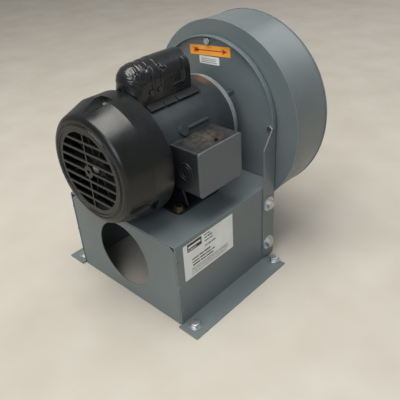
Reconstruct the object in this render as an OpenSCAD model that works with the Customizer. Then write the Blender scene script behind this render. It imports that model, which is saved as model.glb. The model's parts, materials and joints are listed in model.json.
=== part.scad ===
/* [Pedestal] */
// Thickness of the pedestal and drive plate sheet
sheet_t = 1.9; // [1.5:0.1:2.6]
// Width over the pedestal's side walls
ped_w = 241.3; // [236:0.5:250]
// Height of the pedestal's top face above the floor
ped_h = 147.2; // [142:0.2:154]
// Distance from the pedestal's rear face to the drive plate
ped_l = 228; // [220:1:240]
// Distance from the centre of the foot holes back to the rear face
ped_back = 111; // [108:0.5:116]
// Width of each foot flange beyond the side wall
foot_w = 36.4; // [32:0.2:44]
// How far the foot flanges stand out behind the rear face
foot_over = 6.5; // [4:0.5:10]
// Length of the foot flanges
foot_l = 222; // [214:1:226]
// Side-to-side spacing of the foot bolt holes
foot_hole_x = 274; // [270:0.5:276]
// Front-to-back spacing of the foot bolt holes
foot_hole_y = 199; // [190:0.5:202]
// Diameter of the foot bolt holes
foot_hole_d = 11.1; // [9:0.1:13]
// Outside radius of the pedestal's bends
bend_r = 3; // [2.7:0.1:5]
// Height of the sheet left above the round hole in the end plate
end_rim_top = 13.7; // [12:0.1:30]
// Height of the sheet left below that hole
end_rim_foot = 21.9; // [18:0.1:30]
// Depth of the end plate's inner flanges
end_flange = 14; // [10:0.5:20]
// Size of the corner relief at the top of the end plate
relief = 9.5; // [5:0.5:12]

/* [Drive plate] */
// Height of the shaft above the pedestal's top face
shaft_up = 93; // [92.6:0.2:100]
// Outside radius of the plate's rolled rim
rim_r = 123.6; // [122.6:0.1:128]
// Depth of the rolled rim
rim_depth = 10.3; // [8:0.1:14]
// Depth of the plate's side flanges
strip_w = 31; // [28:0.5:36]
// Height at which the side flanges start to taper
strip_top = 212; // [200:1:222]
// Gap between the plate's lower edge and the floor
strip_foot = 5; // [3:0.5:10]
// Distance from the rim in to the bolts that join the plate to the scroll
plate_bolt_in = 10; // [9.5:0.1:11]
// Diameter of those bolts
plate_bolt_d = 6.35; // [5:0.05:8]
// Thickness of the gasket between plate and scroll
gasket_t = 1; // [0.6:0.1:2]
// Diameter of the bolts through the side flanges
side_bolt_d = 9.5; // [8:0.1:10.5]
// Height of the lower side bolts
side_bolt_low = 34; // [30:1:40]
// Height of the upper side bolts
side_bolt_high = 112; // [100:1:118]

/* [Scroll housing] */
// Thickness of the scroll sheet
scroll_t = 1.6; // [1.2:0.1:2.2]
// Outside width of the scroll
scroll_w = 81.8; // [79:0.2:95]
// Radius of the scroll's upper left arc
vol_r = 140.6; // [138:0.2:146]
// Growth of the radius with each quarter turn
vol_step = 13.2; // [11:0.2:14]
// How far the side sheets stand out past the wrapper
seam_lip = 1; // [0.6:0.1:1.6]
// Width of the drive side's sheet inside the circle of bolts
opening_in = 6.1; // [5:0.1:7]
// Distance from the shaft to the outlet's face
outlet_x = 190; // [184:1:205]
// Width of the outlet flange round the duct
outlet_rim = 18; // [15:0.5:24]
// Thickness of the outlet flange
outlet_t = 3; // [2:0.2:5]
// Diameter of the outlet flange's holes
outlet_hole_d = 7; // [5:0.1:8.5]
// Angle of the tongue below the level of the shaft, in degrees
tongue_turn = 48; // [45:1:52]
// Radius of the cut-off at the tongue
tongue_r = 8; // [6:0.5:10]

/* [Inlet] */
// Outside diameter of the inlet collar
collar_od = 127; // [118:0.2:130]
// Length of the collar beyond the housing
collar_l = 34; // [25:1:50]
// Width of the collar's mounting flange
collar_rim = 14; // [11:0.5:20]

/* [Wheel] */
// Gap between the wheel and the opening in the drive side
wheel_clear = 3.5; // [3:0.1:9]
// Width of the blades
wheel_w = 58; // [48:0.5:62]
// Number of blades
blade_count = 8; // [6:1:12]
// Thickness of the wheel's sheet
wheel_t = 2; // [1.5:0.1:3]
// Radius of the wheel hub
hub_r = 21; // [18:0.5:25]
// Length of the wheel hub
hub_l = 38; // [30:1:44]

/* [Motor] */
// Outside radius of the motor shell
shell_r = 70; // [69:0.1:71]
// Thickness of the shell
shell_t = 2; // [1.5:0.1:2.6]
// Distance of the motor's feet centre behind the pedestal's hole centre
motor_back = 4; // [2:0.5:8]
// Distance from the feet centre to the drive end of the motor
motor_front = 97.3; // [95:0.1:101]
// Length of the shell
shell_l = 145; // [142:0.5:147]
// Side-to-side spacing of the motor's foot bolts
base_hole_x = 123.8; // [118:0.1:128]
// Front-to-back spacing of the motor's foot bolts
base_hole_y = 76.2; // [74:0.1:80]
// Diameter of the motor shaft
shaft_d = 15.875; // [14:0.005:16.4]
// Length of the stator core
core_l = 76; // [68:0.5:78]
// Radius of the rotor as a share of the shell's radius
rotor_share = 0.58; // [0.54:0.01:0.6]

/* [Fan cover] */
// How far the fan cover's drum stands out past the shell
cover_out = 21.5; // [19:0.1:22.2]
// Length of the fan cover
cover_l = 73.3; // [70:0.1:78]
// Wall of the fan cover
cover_t = 2.5; // [2:0.1:3.2]
// Length of the fan cover's tapered front
cover_taper = 39.2; // [34:0.1:42]
// How much the radius shrinks along that taper
cover_draw = 12.9; // [10:0.1:14]
// Radius of the air grille
grille_r = 57.7; // [52:0.1:60]
// Number of rows of openings in the grille
grille_rows = 8; // [6:1:10]
// Width of the grille bars
grille_bar = 3.6; // [2.5:0.1:5]
// Radius of the cooling fan
fan_r = 66; // [58:0.5:70]

/* [Capacitor] */
// Radius of the capacitor cover's round top
cap_r = 26.5; // [24:0.1:28]
// Height of that radius's centre above the motor shell
cap_rise = 28.5; // [27.5:0.1:31]
// Length of the capacitor cover
cap_l = 109.5; // [104:0.5:112]
// Radius of the capacitor inside
cap_can_r = 18.5; // [16:0.1:19.5]

/* [Terminal box] */
// Distance from the shaft to the face of the terminal box
box_out = 120; // [114:0.5:126]
// Length of the terminal box along the shaft
box_l = 88; // [80:0.5:92]
// Height of the terminal box
box_h = 68; // [60:0.5:72]
// How far the box's top stands above the shaft
box_up = 23.8; // [20:0.2:28]

/* [Hidden] */
$fn = 96;

// Overrun of a cut past the face that it opens
over = 1;
// Gap between seated pieces that do not move against each other
seat = 0.2;
// Radial gap of a running fit
run = 0.05;
// Flats of a hexagon head or nut
hex_sides = 6;
// Size of the bevel on a head, a shaft end or a screw
chamfer = 1;
// Ratio of a hexagon's width across corners to its width across flats
hex_share = 2 / sqrt(3);

// Overlap of two volumes that form one solid
bite = 0.4;
// Overrun of an arc past its tangent
nick = 0.02;

// Places along the shaft, measured from the centre of the foot holes
ped_rear = -ped_back;
plate_in = ped_rear + ped_l;
plate_out = plate_in + sheet_t;
scroll_y0 = plate_out + gasket_t;
scroll_y1 = scroll_y0 + scroll_w;
motor_y = -motor_back;
motor_end = motor_y + motor_front;

// Radii that follow from the plate's rim and from the motor shell
plate_bolt_r = rim_r - plate_bolt_in;
opening_r = plate_bolt_r - opening_in;
wheel_r = opening_r - wheel_clear;
rotor_r = rotor_share * shell_r;
cover_r = shell_r + cover_out;
cap_up = shell_r + cap_rise;

// Heights and half widths
axis_z = ped_h + shaft_up;
end_hole_d = ped_h - end_rim_top - end_rim_foot;
end_hole_z = end_rim_foot + end_hole_d / 2;
ped_half = ped_w / 2;
plate_half = ped_half + sheet_t;
strip_apex = axis_z + sheet_t;
strip_y = plate_out - strip_w;
strip_cut = strip_w / 3;

// Fasteners: radius of the clearance round a shank, and the gap in a nut
bolt_clear = 0.4;
thread_gap = 0.1;
washer_t = 1.7;
side_bolt_r = side_bolt_d / 2;
side_flats = 1.5 * side_bolt_d;
side_head = 0.65 * side_bolt_d;
side_nut = 0.85 * side_bolt_d;
washer_share = 1.33;
side_washer_r = washer_share * side_bolt_d;
bolt_share = 0.58;
side_bolt_y = plate_out - bolt_share * strip_w;
side_bolt_zs = [side_bolt_low, side_bolt_high];
plate_bolt_rod = plate_bolt_d / 2;
plate_flats = 1.75 * plate_bolt_d;
plate_head = 0.7 * plate_bolt_d;
plate_nut = 0.85 * plate_bolt_d;
plate_bolt_turns = [-2, 95, 182, 272];

// A rectangle that stands on the X axis with its two upper corners rounded
module round_bar(w, h, r) {
  translate([-w / 2, 0]) square([w, h - r]);
  translate([-w / 2 + r, 0]) square([w - 2 * r, h]);
  for (s = [-1, 1]) translate([s * (w / 2 - r), h - r]) circle(r);
}

// Cross-section of a sheet bent into a channel, open downwards
module channel(w, h, t, r) {
  difference() {
    round_bar(w, h, r);
    translate([0, -over]) round_bar(w - 2 * t, h - t + over, r - t);
  }
}

// A centred rectangle with rounded corners
module round_plate(w, h, r) {
  square([w - 2 * r, h], center = true);
  square([w, h - 2 * r], center = true);
  for (sx = [-1, 1], sy = [-1, 1]) translate([sx * (w / 2 - r), sy * (h / 2 - r)]) circle(r);
}

// Extrudes a shape drawn in X and Z along Y, from y0 to y1
module slab(y0, y1) {
  translate([0, y1, 0]) rotate([90, 0, 0]) linear_extrude(y1 - y0) children();
}

// The same, with the shape drawn about the shaft's axis
module shaft_slab(y0, y1) {
  translate([0, 0, axis_z]) slab(y0, y1) children();
}

// Turns a profile drawn in radius and Y about the shaft's axis
module lathe() {
  translate([0, 0, axis_z]) rotate([-90, 0, 0]) rotate_extrude() children();
}

module rod(r, y0, y1) {
  shaft_slab(y0, y1) circle(r);
}

module ring(ro, ri, y0, y1) {
  shaft_slab(y0, y1) difference() {
    circle(ro);
    circle(ri);
  }
}

// Copies a piece to one place at radius r and angle a about the shaft
module polar(r, a) {
  translate([0, 0, axis_z]) rotate([0, -a, 0]) translate([r, 0, 0]) children();
}

// A rod parallel to the shaft at radius r and angle a
module polar_rod(r, a, rod_r, y0, y1) {
  polar(r, a) slab(y0, y1) circle(rod_r);
}

// A hexagon parallel to the shaft at radius r and angle a
module polar_hex(r, a, flats, y0, y1) {
  polar(r, a) slab(y0, y1) rotate(180 / hex_sides) circle(flats / 2 * hex_share, $fn = hex_sides);
}

// A rod along X, on both sides of the pedestal
module side_rods(r, x0, x1, sides = 0) {
  for (s = [-1, 1], z = side_bolt_zs) translate([s > 0 ? x0 : -x1, side_bolt_y, z])
    rotate([0, 90, 0]) cylinder(r = r, h = x1 - x0, $fn = sides > 0 ? sides : $fn);
}

// A hexagon head that stands on the XY plane, its top corners cut by a cone
module hex_head(flats, h) {
  corner = flats / 2 * hex_share;
  intersection() {
    cylinder(r = corner, h = h, $fn = hex_sides);
    union() {
      cylinder(r = corner + seat, h = h - chamfer);
      translate([0, 0, h - chamfer]) cylinder(r1 = corner, r2 = flats / 2 - chamfer / 2, h = chamfer);
    }
  }
}

// Heads of bolts along X on both sides of the pedestal
module side_heads(flats, x0, h) {
  for (s = [-1, 1], z = side_bolt_zs) translate([s * x0, side_bolt_y, z])
    rotate([0, s * 90, 0]) hex_head(flats, h);
}

// Vertical rods at the motor's foot bolts
module foot_rods(r, z0, z1, sides = 0) {
  for (sx = [-1, 1], sy = [-1, 1])
    translate([sx * base_hole_x / 2, motor_y + sy * base_hole_y / 2, z0])
      cylinder(r = r, h = z1 - z0, $fn = sides > 0 ? sides : $fn);
}

base_bolt_d = 7.94;
base_bolt_r = base_bolt_d / 2;
base_flats = 1.6 * base_bolt_d;
base_head = 0.65 * base_bolt_d;
base_nut = 0.85 * base_bolt_d;
base_washer_r = 1.1 * base_bolt_d;
enamel = [0.40, 0.45, 0.46];
black = [0.09, 0.09, 0.1];
zinc = [0.75, 0.77, 0.78];
steel = [0.6, 0.6, 0.62];

module foot_section() {
  inner_r = bend_r - sheet_t;
  translate([ped_half - sheet_t, 0]) square([foot_w + sheet_t, sheet_t]);
  difference() {
    translate([ped_half - bite, sheet_t - bite]) square(inner_r + bite);
    translate([ped_half + inner_r, sheet_t + inner_r]) circle(inner_r);
  }
}

module pedestal_shell() {
  color(enamel) difference() {
    union() {
      slab(ped_rear, plate_in - bend_r + sheet_t - seat) channel(ped_w, ped_h, sheet_t, bend_r);
      slab(ped_rear - foot_over, ped_rear - foot_over + foot_l)
        for (s = [-1, 1]) mirror([s < 0 ? 1 : 0, 0]) foot_section();
    }
    for (s = [-1, 1]) mirror([s < 0 ? 1 : 0, 0, 0])
      slab(ped_rear - foot_over - over, plate_in + over) difference() {
        translate([ped_half - sheet_t - over, -over]) square(bend_r + over);
        translate([ped_half - sheet_t + bend_r, bend_r]) circle(bend_r);
      }
    for (sx = [-1, 1], sy = [-1, 1])
      translate([sx * foot_hole_x / 2, sy * foot_hole_y / 2, -over])
        cylinder(d = foot_hole_d, h = sheet_t + 2 * over);
    foot_rods(base_bolt_r + bolt_clear, ped_h - sheet_t - over, ped_h + over);
    side_rods(side_bolt_r + bolt_clear, ped_half - sheet_t - over, ped_half + over);
  }
}

// Gap between the end plate and the sheet above it, and above the floor
end_gap = 1;

module pedestal_end_plate() {
  half = ped_half - sheet_t - seat;
  top = ped_h - sheet_t - end_gap;
  color(enamel) difference() {
    translate([0, ped_rear + end_flange, end_gap]) mirror([0, 1, 0]) linear_extrude(top - end_gap)
      channel(2 * half, end_flange, sheet_t, bend_r);
    slab(ped_rear - over, ped_rear + end_flange + over) {
      translate([0, end_hole_z]) circle(d = end_hole_d);
      for (s = [-1, 1]) polygon([[s * (half - relief), top + over], [s * (half - relief), top],
        [s * half, top - relief], [s * (half + over), top - relief], [s * (half + over), top + over]]);
    }
  }
}

// Radius of the seal's seat in the drive plate
seal_r = 18;

module drive_plate() {
  color(enamel) difference() {
    union() {
      translate([0, strip_y, strip_foot]) linear_extrude(strip_apex - strip_foot)
        channel(2 * plate_half, strip_w, sheet_t, bend_r);
      intersection() {
        lathe() intersection() {
          translate([0, plate_out - rim_depth]) channel(2 * rim_r, rim_depth, sheet_t, bend_r);
          translate([0, plate_out - rim_depth - over]) square([rim_r + over, rim_depth + 2 * over]);
        }
        translate([-rim_r - over, plate_out - rim_depth - over, axis_z])
          cube([2 * (rim_r + over), rim_depth + 2 * over, rim_r + over]);
      }
    }
    translate([-plate_half - over, 0, 0]) rotate([90, 0, 90]) linear_extrude(2 * (plate_half + over))
      polygon([[strip_y - over, strip_top], [strip_y, strip_top], [plate_out - rim_depth, strip_apex - bite],
        [plate_out - rim_depth, strip_apex + over], [strip_y - over, strip_apex + over]]);
    translate([-plate_half - over, 0, 0]) rotate([90, 0, 90]) linear_extrude(2 * (plate_half + over))
      polygon([[strip_y - over, strip_foot - over], [strip_y + strip_cut, strip_foot - over],
        [strip_y - over, strip_foot + strip_cut]]);
    rod(seal_r, plate_in - over, plate_out + over);
    for (a = plate_bolt_turns) polar_rod(plate_bolt_r, a, plate_bolt_rod + bolt_clear,
      plate_in - over, plate_out + over);
    side_rods(side_bolt_r + bolt_clear, plate_half - sheet_t - over, plate_half + over);
  }
}

// Centres and radii of the scroll's four arcs
vol_half = vol_step / 2;
vol_b = vol_r + vol_step;
vol_c = vol_b + vol_step;
vol_d = vol_r - vol_step;
scroll_low = -(vol_c + vol_half);
tongue_z = vol_half - vol_d * sin(tongue_turn);
tongue_cz = tongue_z + tongue_r;
tongue_cx = -vol_half - sqrt(pow(vol_d + tongue_r, 2) - pow(tongue_cz - vol_half, 2));

// A quarter disc on the side of its centre that sx and sz give
module quarter(r, sx, sz) {
  intersection() {
    circle(r);
    translate([sx > 0 ? 0 : -r, sz > 0 ? 0 : -r]) square(r);
  }
}

// The scroll's outline, g inside its outer edge
module scroll_outline(g) {
  r = vol_d - g;
  z = tongue_z - g;
  tip_x = -vol_half - sqrt(pow(r, 2) - pow(z - vol_half, 2));
  reach = [tongue_cx + vol_half, tongue_cz - vol_half];
  tangent = [-vol_half, vol_half] + r / norm(reach) * reach;
  translate([vol_half, vol_half]) quarter(vol_r - g, -1, 1);
  translate([vol_half, -vol_half]) quarter(vol_b - g, 1, 1);
  translate([-vol_half, -vol_half]) quarter(vol_c - g, 1, -1);
  translate([-vol_half, vol_half]) quarter(r, -1, -1);
  square(vol_step, center = true);
  translate([-outlet_x, scroll_low + g]) square([outlet_x - vol_half, z - scroll_low - g]);
  difference() {
    polygon([[tongue_cx, z - bite], [tip_x + 2 * bite, z - bite], tangent, [tongue_cx, tongue_cz]]);
    translate([tongue_cx, tongue_cz]) circle(tongue_r + g + nick);
  }
}

module scroll_drive_side() {
  color(enamel) shaft_slab(scroll_y0, scroll_y0 + scroll_t) difference() {
    scroll_outline(0);
    circle(opening_r);
    for (a = plate_bolt_turns) rotate(a) translate([plate_bolt_r, 0]) circle(plate_bolt_rod + bolt_clear);
  }
}

module scroll_wrapper() {
  color(enamel) shaft_slab(scroll_y0 + scroll_t, scroll_y1 - scroll_t) difference() {
    scroll_outline(seam_lip);
    scroll_outline(seam_lip + scroll_t);
    translate([-outlet_x - over, scroll_low + seam_lip + scroll_t])
      square([2 * over, tongue_z - scroll_low - 2 * (seam_lip + scroll_t)]);
  }
}

collar_r = collar_od / 2;
collar_t = 2;
collar_lip = collar_t + 1;

module scroll_inlet_side() {
  color(enamel) shaft_slab(scroll_y1 - scroll_t, scroll_y1) difference() {
    scroll_outline(0);
    circle(collar_r - collar_t + seat);
    for (a = [0 : 60 : 300]) rotate(a) translate([rivet_pcr, 0]) circle(rivet_r + thread_gap);
  }
}

rivet_r = 2.4;
rivet_pcr = collar_r + collar_rim / 2 + rivet_r / 2;

module inlet_collar() {
  mouth = scroll_y1 + collar_l;
  color(enamel) difference() {
    lathe() union() {
      translate([collar_r - collar_t, scroll_y1]) square([collar_t, collar_l - collar_t / 2]);
      translate([collar_r - collar_t / 2, mouth - collar_t / 2]) circle(collar_t / 2);
      translate([collar_r - collar_t, scroll_y1]) square([collar_rim + collar_t, collar_t]);
      translate([collar_r - bite, scroll_y1 + collar_t - bite]) difference() {
        square(collar_lip + bite);
        translate([collar_lip + bite, collar_lip + bite]) circle(collar_lip);
      }
    }
    for (a = [0 : 60 : 300]) polar_rod(rivet_pcr, a, rivet_r + thread_gap, scroll_y1 - over,
      scroll_y1 + collar_t + over);
  }
}

module inlet_rivets() {
  head = rivet_r / 2;
  for (a = [0 : 60 : 300]) {
    polar_rod(rivet_pcr, a, rivet_r, scroll_y1 - scroll_t - head, scroll_y1 + collar_t + head);
    polar_rod(rivet_pcr, a, 2 * rivet_r, scroll_y1 + collar_t, scroll_y1 + collar_t + head);
    polar_rod(rivet_pcr, a, 2 * rivet_r, scroll_y1 - scroll_t - head, scroll_y1 - scroll_t);
  }
}

outlet_mid_y = (scroll_y0 + scroll_y1) / 2;
outlet_mid_z = axis_z + (scroll_low + tongue_z) / 2;
outlet_h = tongue_z - scroll_low;

module outlet_flange() {
  color(enamel) translate([-outlet_x, outlet_mid_y, outlet_mid_z]) rotate([90, 0, 90])
    linear_extrude(outlet_t) difference() {
      round_plate(scroll_w + 2 * outlet_rim, outlet_h + 2 * outlet_rim, sheet_t);
      square([scroll_w + 2 * seat, outlet_h + 2 * seat], center = true);
      for (sx = [-1, 1], sy = [-1, 1])
        translate([sx * (scroll_w + outlet_rim) / 2, sy * (outlet_h + outlet_rim) / 2])
          circle(d = outlet_hole_d);
    }
}

gasket_rim = 2;
gasket_lap = 7;

module drive_plate_gasket() {
  color(black) shaft_slab(plate_out, scroll_y0) difference() {
    circle(plate_bolt_r + gasket_lap);
    circle(opening_r + gasket_rim);
    for (a = plate_bolt_turns) rotate(a) translate([plate_bolt_r, 0]) circle(plate_bolt_rod + bolt_clear);
  }
}

plate_grip = scroll_y0 + scroll_t;

module drive_plate_bolts() {
  color(zinc) for (a = plate_bolt_turns) {
    polar(plate_bolt_r, a) translate([0, plate_in, 0]) rotate([90, 180 / hex_sides, 0])
      hex_head(plate_flats, plate_head);
    polar_rod(plate_bolt_r, a, plate_bolt_rod, plate_in - plate_head / 2, plate_grip + plate_nut + over);
  }
}

module drive_plate_nuts() {
  color(zinc) for (a = plate_bolt_turns) difference() {
    polar_hex(plate_bolt_r, a, plate_flats, plate_grip, plate_grip + plate_nut);
    polar_rod(plate_bolt_r, a, plate_bolt_rod + thread_gap, plate_grip - over,
      plate_grip + plate_nut + over);
  }
}

side_in = ped_half - sheet_t;
side_seat = plate_half + washer_t;

module pedestal_side_bolts() {
  color(zinc) {
    side_rods(side_bolt_r, side_in - side_nut - washer_t, side_seat + side_head / 2);
    side_heads(side_flats, side_seat, side_head);
  }
}

module pedestal_side_washers() {
  color(zinc) difference() {
    side_rods(side_washer_r, plate_half, side_seat);
    side_rods(side_bolt_r + bolt_clear, plate_half - over, side_seat + over);
  }
}

module pedestal_side_nuts() {
  color(zinc) difference() {
    side_rods(side_flats / 2 * hex_share, side_in - side_nut, side_in, hex_sides);
    side_rods(side_bolt_r + thread_gap, side_in - side_nut - over, side_in + over);
  }
}

// The motor's welded base: a plate and two cradle webs
base_t = 4;
base_margin = 9.2;
base_w = base_hole_x + 2 * base_margin;
base_l = base_hole_y + 2 * base_margin;
base_corner = 8;
web_t = 3.2;
web_out = 22;
web_foot = shell_r - base_t;
web_top = shell_r - 5 * base_t;
web_h = 42;
base_top = ped_h + base_t;

module motor_base() {
  color(black) difference() {
    union() {
      translate([0, motor_y, ped_h]) linear_extrude(base_t) round_plate(base_w, base_l, base_corner);
      for (s = [-1, 1]) slab(motor_y + s * web_out - web_t / 2, motor_y + s * web_out + web_t / 2)
        polygon([[-web_foot, base_top - bite], [web_foot, base_top - bite],
          [web_top, base_top + web_h], [-web_top, base_top + web_h]]);
    }
    rod(shell_r, motor_y - base_l, motor_y + base_l);
    foot_rods(base_bolt_r + bolt_clear, ped_h - over, base_top + over);
  }
}

module motor_base_bolts() {
  color(zinc) {
    foot_rods(base_washer_r, base_top, base_top + washer_t);
    for (sx = [-1, 1], sy = [-1, 1])
      translate([sx * base_hole_x / 2, motor_y + sy * base_hole_y / 2, base_top + washer_t])
        hex_head(base_flats, base_head);
    foot_rods(base_bolt_r, ped_h - sheet_t - base_nut - over, base_top + washer_t + over);
  }
}

module motor_base_nuts() {
  top = ped_h - sheet_t;
  color(zinc) difference() {
    foot_rods(base_flats / 2 * hex_share, top - base_nut, top, hex_sides);
    foot_rods(base_bolt_r + thread_gap, top - base_nut - over, top + over);
  }
}

// The motor shell and what it holds
shell_rear = -64;
shell_front = shell_rear + shell_l;
shell_in = shell_r - shell_t;
rib_turn = 27;
rib_r = 3;
rib_y0 = -12;
rib_y1 = 30;
boss_y = -21;
boss_r = 8;
boss_up = 3;
lead_hole_r = 9;
through_r = 3;
through_in = 6.6;
through_pcr = shell_r - through_in;
through_turns = [45 : 90 : 315];

// A cylinder that points away from the shaft, from radius r0 to r1, at angle a
module spoke(rad, y, a, r0, r1) {
  translate([0, y, axis_z]) rotate([0, 90 - a, 0]) translate([0, 0, r0]) cylinder(r = rad, h = r1 - r0);
}

module motor_shell() {
  color(black) difference() {
    union() {
      ring(shell_r, shell_in, shell_rear, shell_front);
      difference() {
        union() {
          polar_rod(shell_r, rib_turn, rib_r, rib_y0, rib_y1);
          spoke(boss_r, boss_y, rib_turn, shell_in + bite, shell_r + boss_up);
        }
        rod(shell_in + bite, shell_rear, shell_front);
      }
    }
    spoke(lead_hole_r, box_y, 0, shell_in - over, shell_r + over);
    spoke(lead_hole_r, motor_y, 90, shell_in - over, shell_r + over);
  }
}

// The stator: a slotted core and its windings
core_shift = 12;
core_y0 = motor_y + core_shift - core_l / 2;
core_y1 = core_y0 + core_l;
air_gap = 0.4;
slot_count = 24;
slot_in = rotor_r + 3;
slot_out = shell_in - 11;
slot_w = 6;
slot_mouth = 2.4;

module slots(gap) {
  for (k = [0 : slot_count - 1]) rotate((k + 1 / 2) * 360 / slot_count)
    translate([slot_in + gap, -slot_w / 2 + gap]) square([slot_out - slot_in - 2 * gap, slot_w - 2 * gap]);
}

module stator_core() {
  bore = rotor_r + air_gap;
  color(steel) shaft_slab(core_y0, core_y1) difference() {
    circle(shell_in);
    circle(bore);
    slots(0);
    for (k = [0 : slot_count - 1]) rotate((k + 1 / 2) * 360 / slot_count)
      translate([bore - over, -slot_mouth / 2]) square([slot_in - bore + 2 * over, slot_mouth]);
    for (a = through_turns) rotate(a) translate([through_pcr, 0]) circle(through_r + over);
  }
}

coil_in = rotor_r + 3.5;
coil_out = shell_in - 8;
coil_out_y = 19;
coil_corner = 4;

module stator_windings() {
  color([0.62, 0.3, 0.14]) {
    for (y = [core_y0 - coil_out_y, core_y1 + seat]) lathe()
      translate([(coil_in + coil_out) / 2, y + coil_out_y / 2 - seat / 2])
        round_plate(coil_out - coil_in, coil_out_y - seat, coil_corner);
    shaft_slab(core_y0 - coil_corner, core_y1 + coil_corner) slots(seat);
  }
}

// Ball bearings: sizes of the rings, balls and cage
bearing_r = 20;
bearing_bore = 8.5;
bearing_w = 12;
ball_pitch = 14.25;
ball_r = 3.3735;
groove_r = 3.45;
outer_land = 16.5;
inner_land = 12;
ball_count = 8;
cage_in = 12.9;
cage_out = 15.6;
cage_w = 8;
drive_bearing_y = 78;
fan_bearing_y = -74;

module bearing_ring(ro, ri, y) {
  color(steel) lathe() difference() {
    translate([ri, y - bearing_w / 2]) square([ro - ri, bearing_w]);
    translate([ball_pitch, y]) circle(groove_r);
  }
}

module drive_bearing_outer() { bearing_ring(bearing_r, outer_land, drive_bearing_y); }
module fan_bearing_outer() { bearing_ring(bearing_r, outer_land, fan_bearing_y); }
module drive_bearing_inner() { bearing_ring(inner_land, bearing_bore, drive_bearing_y); }
module fan_bearing_inner() { bearing_ring(inner_land, bearing_bore, fan_bearing_y); }

module ball_places(y) {
  for (k = [0 : ball_count - 1]) translate([0, y, axis_z]) rotate([0, k * 360 / ball_count, 0])
    translate([ball_pitch, 0, 0]) children();
}

module bearing_balls() {
  color(steel) for (y = [drive_bearing_y, fan_bearing_y]) ball_places(y) sphere(r = ball_r);
}

module bearing_cages() {
  color([0.7, 0.55, 0.3]) for (y = [drive_bearing_y, fan_bearing_y]) difference() {
    ring(cage_out, cage_in, y - cage_w / 2, y + cage_w / 2);
    for (k = [0 : ball_count - 1])
      spoke(ball_r + run, y, k * 360 / ball_count, cage_in - over, cage_out + over);
  }
}

module wave_washer() {
  y = fan_bearing_y - bearing_w / 2;
  color(steel) ring(bearing_r - run, outer_land, y - over, y - seat);
}

// End shields: a dish with a hub that holds a bearing
shield_t = 4;
shield_round = 6;
hub_out = 26;
spigot = 6;
shaft_hole = 9.6;
drive_hub_y = drive_bearing_y - bearing_w / 2 - 2;
fan_hub_y = fan_bearing_y + bearing_w / 2 + 2;
fan_shield_end = -80;
fan_hub_end = -84;

// A dish that opens toward y = 0, h deep
module dish(h) {
  intersection() {
    channel(2 * shell_r, h, shield_t, shield_round);
    square([shell_r + over, h + over]);
  }
}

module drive_end_shield() {
  color(black) difference() {
    union() {
      lathe() translate([0, shell_front]) dish(motor_end - shell_front);
      ring(shell_in - seat, shell_in - shield_t, shell_front - spigot, shell_front + bite);
      rod(hub_out, drive_hub_y, motor_end);
    }
    rod(bearing_r, drive_hub_y - over, drive_bearing_y + bearing_w / 2);
    rod(outer_land, drive_hub_y, drive_bearing_y + bearing_w / 2 + over);
    rod(shaft_hole, drive_hub_y, motor_end + over);
    for (a = through_turns) polar_rod(through_pcr, a, through_r + bolt_clear, shell_front - spigot - over,
      motor_end + over);
  }
}

// Places of the fan cover's notches and of the lugs that carry it
notch_turns = [89, 209, 329];
notch_r = 14;
notch_depth = 10.5;
notch_at = cover_r + notch_r - notch_depth;
notch_end = -96;
cover_screw_y = -100.5;
lug_w = 14;
lug_front = cover_screw_y - 5;
lug_back = 8;
lug_rear = shell_rear - lug_back;
lug_top = notch_at - notch_r - cover_t - bolt_clear;
lug_in = 2.5;
lug_under = shell_r - lug_in;

module fan_end_shield() {
  color(black) difference() {
    union() {
      lathe() translate([0, shell_rear]) mirror([0, 1]) dish(shell_rear - fan_shield_end);
      ring(shell_in - seat, shell_in - shield_t, shell_rear - bite, shell_rear + spigot);
      rod(hub_out, fan_hub_end, fan_hub_y);
      for (a = notch_turns) polar(lug_under, a) translate([0, lug_front, -lug_w / 2])
        cube([lug_top - lug_under, lug_rear - lug_front, lug_w]);
    }
    rod(bearing_r, fan_bearing_y - bearing_w / 2 - over, fan_hub_y + over);
    rod(outer_land, fan_bearing_y - bearing_w / 2 - 2 * over, fan_hub_y);
    rod(shaft_hole, fan_hub_end - over, fan_hub_y);
    for (a = through_turns) polar_rod(through_pcr, a, through_r + bolt_clear, fan_shield_end - over,
      shell_rear + spigot + over);
    for (a = notch_turns)
      spoke(cover_screw_r + thread_gap, cover_screw_y, a, lug_under - over, lug_top + over);
  }
}

through_flats = 8;
through_head = 4;
stud_nut_r = 5;
stud_nut_l = 11;
stud_end = 3;

module motor_through_bolts() {
  color(zinc) for (a = through_turns) {
    polar_hex(through_pcr, a, through_flats, fan_shield_end - through_head, fan_shield_end);
    polar_rod(through_pcr, a, through_r, fan_shield_end - through_head / 2,
      motor_end + stud_nut_l + stud_end);
  }
}

module motor_stud_nuts() {
  color(enamel) for (a = through_turns) difference() {
    polar_rod(through_pcr, a, stud_nut_r, motor_end, motor_end + stud_nut_l);
    polar_rod(through_pcr, a, through_r + thread_gap, motor_end - over, motor_end + stud_nut_l + over);
  }
}

// The fan cover: a drum with a tapered front, an air grille and three notches
cover_reach = 80.7;
cover_front = shell_rear - cover_reach;
cover_rear = cover_front + cover_l;
cover_bend = cover_front + cover_taper;
taper_turn = atan(cover_draw / cover_taper);
front_round = 10;
front_r = cover_r - cover_draw + front_round * tan(taper_turn) - front_round / cos(taper_turn);
bead_in = 25.7;
bead_r = 1.4;
rim_groove_in = 22.3;
rim_groove_r = 0.9;
grille_pitch = 2 * grille_r / grille_rows;
grille_stem = 2.4;
grille_hub = 9;
grille_hole = 3;

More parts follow.
